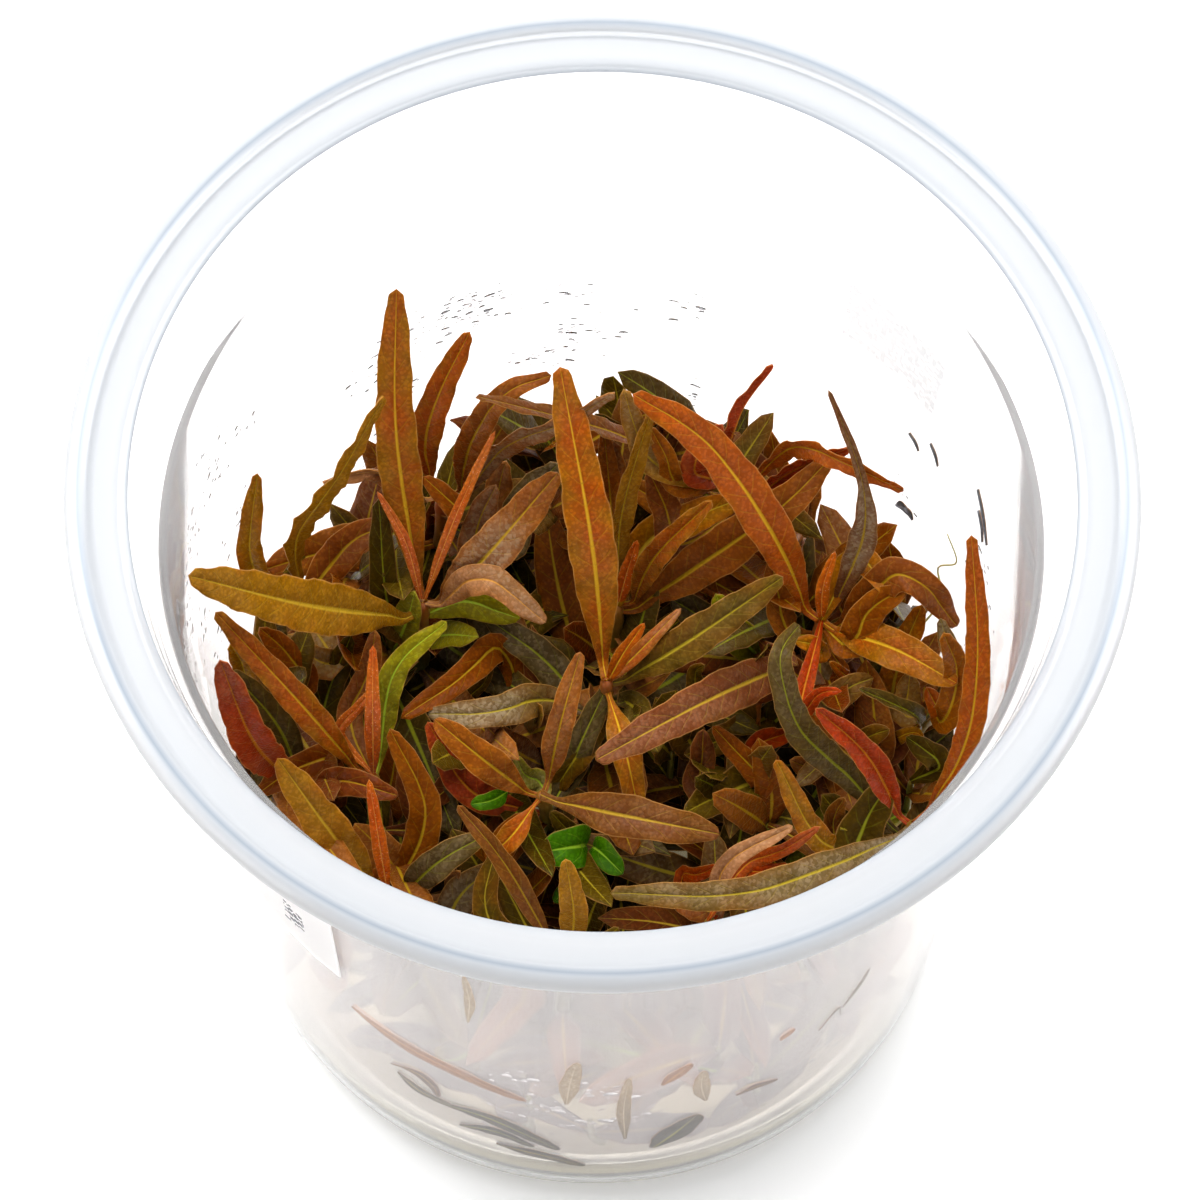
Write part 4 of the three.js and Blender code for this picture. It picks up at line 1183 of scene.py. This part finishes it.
# Loose leaves: dead leaves and scraps that stick flat to the wet inside of the wall at the front. Each lies
# along the places given, by the angle round the cup in degrees and the height, and has the full width given.
SCRAPS = [
    ("rose", ((-127, 45), (-119, 43), (-109, 41), (-99, 37)), 3.4),
    ("plum", ((-121, 32), (-117, 34), (-114, 32), (-113, 28)), 2.6),
    ("olive", ((-120, 30), (-116, 27), (-111, 27)), 2.6),
    ("forest", ((-114, 26), (-106, 27), (-100, 24), (-94, 19)), 3.6),
    ("forest", ((-110, 20), (-104, 22), (-98, 19)), 3),
    ("olive", ((-104, 17), (-97, 16), (-90, 13)), 2.6),
    ("forest", ((-79.5, 19), (-76, 24), (-73, 29)), 4.6),
    ("plum", ((-67, 32), (-64, 32.5), (-60, 31)), 1.8),
    ("rose", ((-79, 44), (-77, 47), (-75, 50)), 2),
    ("rose", ((-61, 47), (-60, 48), (-59, 49)), 1.6),
    ("bleached", ((-93, 38), (-92.5, 46), (-91.5, 54)), 2.2),
    ("bleached", ((-84, 24), (-84.5, 36), (-84, 48)), 1.6),
    ("bleached", ((-107, 62), (-106.5, 70), (-107, 78)), 1.2),
    ("bleached", ((-72, 34), (-73, 40), (-73, 46)), 2),
    ("forest", ((-54, 42), (-51, 46), (-50, 42)), 1),
    ("forest", ((-50, 45), (-47.5, 49), (-46, 53)), 1),
    ("slate", ((38.5, 48), (37, 48.8), (35.2, 49)), 2),
    ("slate", ((36.6, 49.4), (35.6, 49.4), (34.6, 48.6)), 1.2),
    ("slate", ((22, 74), (19, 72), (16, 69)), 0.45),
    ("slate", ((20.5, 71), (18.6, 69.8), (17.4, 67.6)), 0.4),
    ("slate", ((39, 65), (37.5, 64.5), (36.5, 63.5)), 0.4),
    ("slate", ((34.5, 68), (33, 67), (32, 65.5)), 0.4),
    ("gold", ((-3, 43), (-2.5, 46), (-2.8, 50)), 1.2),
]
SCRAP_DEPTH = 0.02
SCRAP_CURVE = -0.01
SCRAP_WAVE = 0.08
NEXT_PLACE = 0.02
SCRAP_TONE = 0.3
# The loose leaves' share of painted sheen.
SCRAP_PAINTED_SHEEN = 0.2
TONES["bleached"] = ("b09a7c", "a48a68", "c4b294")
TONES["slate"] = ("62656e", "555862", "7c7f88")
leaf_materials["bleached"] = leaf_material("bleached")
leaf_materials["slate"] = leaf_material("slate")


def on_wall(degrees, height, depth):
    """A point inside the wall at an angle and a height, off the wall by a depth, and the way outwards."""
    outward = Vector((math.cos(math.radians(degrees)), math.sin(math.radians(degrees)), 0))
    radius = body_radius(height) - WALL - depth
    return outward * radius + Vector((0, 0, height)), outward


scraps = {}
for number, (tone, spots, width) in enumerate(SCRAPS):
    angles, heights = (np.array(part, float) for part in zip(*spots))
    knots = np.linspace(0, 1, len(spots))
    stations = []
    for part, wide in LEAF_OUTLINE:
        degrees, height = (smooth_through(knots, row, np.array([part]))[0] for row in (angles, heights))
        spot, outward = on_wall(degrees, height, SCRAP_DEPTH)
        next_degrees = degrees + NEXT_PLACE * (angles[-1] - angles[0])
        next_height = height + NEXT_PLACE * (heights[-1] - heights[0])
        ahead = on_wall(next_degrees, next_height, SCRAP_DEPTH)[0] - spot
        side = ahead.normalized().cross(outward).normalized()
        stations.append((spot, side, outward, width / 2 * wide, SCRAP_CURVE * width * wide))
    blade = blade_surface(stations, SMALL_ROWS, SMALL_COLUMNS, random.Random(number), SCRAP_WAVE)
    scraps.setdefault(tone, []).append((blade, SCRAP_TONE, SCRAP_PAINTED_SHEEN))
for tone, blades in scraps.items():
    loose = leaf_object(f"{tone}_loose_leaves", blades, leaf_materials[tone])
    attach(loose, "root")


# Condensation and painted haze: a pale film on the inside of the front wall, between the wall and the plants.
# It stands in part for fine water that has condensed there and in part for the grey haze of light that the
# wall scatters when seen at a slant, which is painted light. It fades out towards the sides and the rim, and
# hangs in faint upright streaks.
CONDENSATION_AND_HAZE_DEGREES = np.arange(-178, -1, 2)
CONDENSATION_AND_HAZE_HEIGHTS = (12.4, 30, 52, 74, 88, 94)
CONDENSATION_AND_HAZE_DEPTHS = (0.34, 0.38)
CONDENSATION_AND_HAZE_STRETCH = (420, 420, 40)
SIDE_FADE = (-0.004, -0.026)
RIM_FADE = (0.094, 0.086)
THINNEST = 0.13
THICKEST = 0.23
condensation_and_haze_points = [on_wall(degrees, height, depth)[0] * MM
               for depth in CONDENSATION_AND_HAZE_DEPTHS for height in CONDENSATION_AND_HAZE_HEIGHTS for degrees in CONDENSATION_AND_HAZE_DEGREES]
broad, narrow = sheet_faces(len(CONDENSATION_AND_HAZE_HEIGHTS), len(CONDENSATION_AND_HAZE_DEGREES))
mesh = bpy.data.meshes.new("wall_mist")
mesh.from_pydata(condensation_and_haze_points, [], broad + narrow)
mesh.polygons.foreach_set("use_smooth", [True] * len(broad) + [False] * len(narrow))

condensation_and_painted_haze_film, tree, shader = new_material("condensation and painted haze film")
to_sides = ranged(tree, part_of(tree, place_on(tree), "Y"), *SIDE_FADE)
to_rim = ranged(tree, part_of(tree, place_on(tree), "Z"), *RIM_FADE)
density = ranged(tree, streaks(tree, CONDENSATION_AND_HAZE_STRETCH, 3), 0.3, 0.7, THINNEST, THICKEST)
cover = worked(tree, "MULTIPLY", worked(tree, "MULTIPLY", to_sides, to_rim), density)
# A pale film, partly see-through: in part condensed water, in part painted haze of light.
feed(tree, shader, {"Base Color": srgb("ebe5e3"), "Roughness": 1, "Specular IOR Level": 0, "Alpha": cover})
mesh.materials.append(condensation_and_painted_haze_film)
condensation_and_painted_haze = link(bpy.data.objects.new("wall_mist", mesh))
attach(condensation_and_painted_haze, "root")


# Drops: water that has condensed on the inside of the wall, in small flat drops that gather in bunches. They
# stand thickest on the back wall over the leaves and on the front wall near the foot. Each patch of wall is
# given by its angles, its heights, its number of drops and their least and largest radius.
DROP_PATCHES = [
    ((76, 134), (42, 70), 300, (0.11, 0.36)),
    ((-106, -68), (17, 48), 110, (0.15, 0.5)),
    ((150, 200), (44, 88), 240, (0.09, 0.28)),
    ((-25, 40), (44, 80), 130, (0.1, 0.32)),
    ((-60, -30), (30, 60), 30, (0.1, 0.35)),
]
DROPS_IN_BUNCH = 15
BUNCH_DEGREES = 2.6
BUNCH_HEIGHT = 1.8
DROP_OFF_WALL = 0.03
DROP_TILT = 0.5
LONGEST_DROP = 2.2
GREY_DROP_TINT = (0.55, 0.56, 0.58, 1)
CLEAR_DROP_TINT = (0.95, 0.95, 0.96, 1)
DROP_SIDES = 10
DROP_PROFILE = [(0, 0), (0.98, 0), (1, 0.12), (0.8, 0.34), (0.45, 0.47), (0, 0.5)]

water, tree, shader = new_material("water drops")
# The drops are tinted from grey to nearly clear in soft random patches.
drop_tint = ramp(tree, clouds(tree, place_on(tree), 400), [(0, GREY_DROP_TINT), (1, CLEAR_DROP_TINT)])
feed(tree, shader, {"Base Color": drop_tint, "Roughness": 0.03, "Transmission Weight": 1, "IOR": 1.33})

drop = turned_object("drop", DROP_PROFILE, DROP_SIDES)
drop_tree = scatter_tree("wall drops", [drop])
chance = random.Random(31)
drop_spots = []
for (start, end), (low, high), count, (least, most) in DROP_PATCHES:
    for number in range(count):
        if number % DROPS_IN_BUNCH == 0:
            bunch_degrees, bunch_height = chance.uniform(start, end), chance.uniform(low, high)
        degrees = min(max(chance.gauss(bunch_degrees, BUNCH_DEGREES), start), end)
        height = min(max(chance.gauss(bunch_height, BUNCH_HEIGHT), low), high)
        spot, outward = on_wall(degrees, height, DROP_OFF_WALL)
        tilt = chance.uniform(-DROP_TILT, DROP_TILT)
        level = Matrix.Rotation(tilt, 3, outward) @ Vector((0, 0, 1)).cross(outward)
        pose = Matrix((level, (-outward).cross(level), -outward)).transposed().to_euler()
        size = least + (most - least) * chance.random() ** 3
        stretch = chance.uniform(1, LONGEST_DROP)
        drop_spots.append((spot, pose, (size * stretch, size, size), 0, 0))
drops = scattered("wall_drops", drop_tree, drop_spots, water)
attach(drops, "root")
bpy.data.objects.remove(drop)


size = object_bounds()
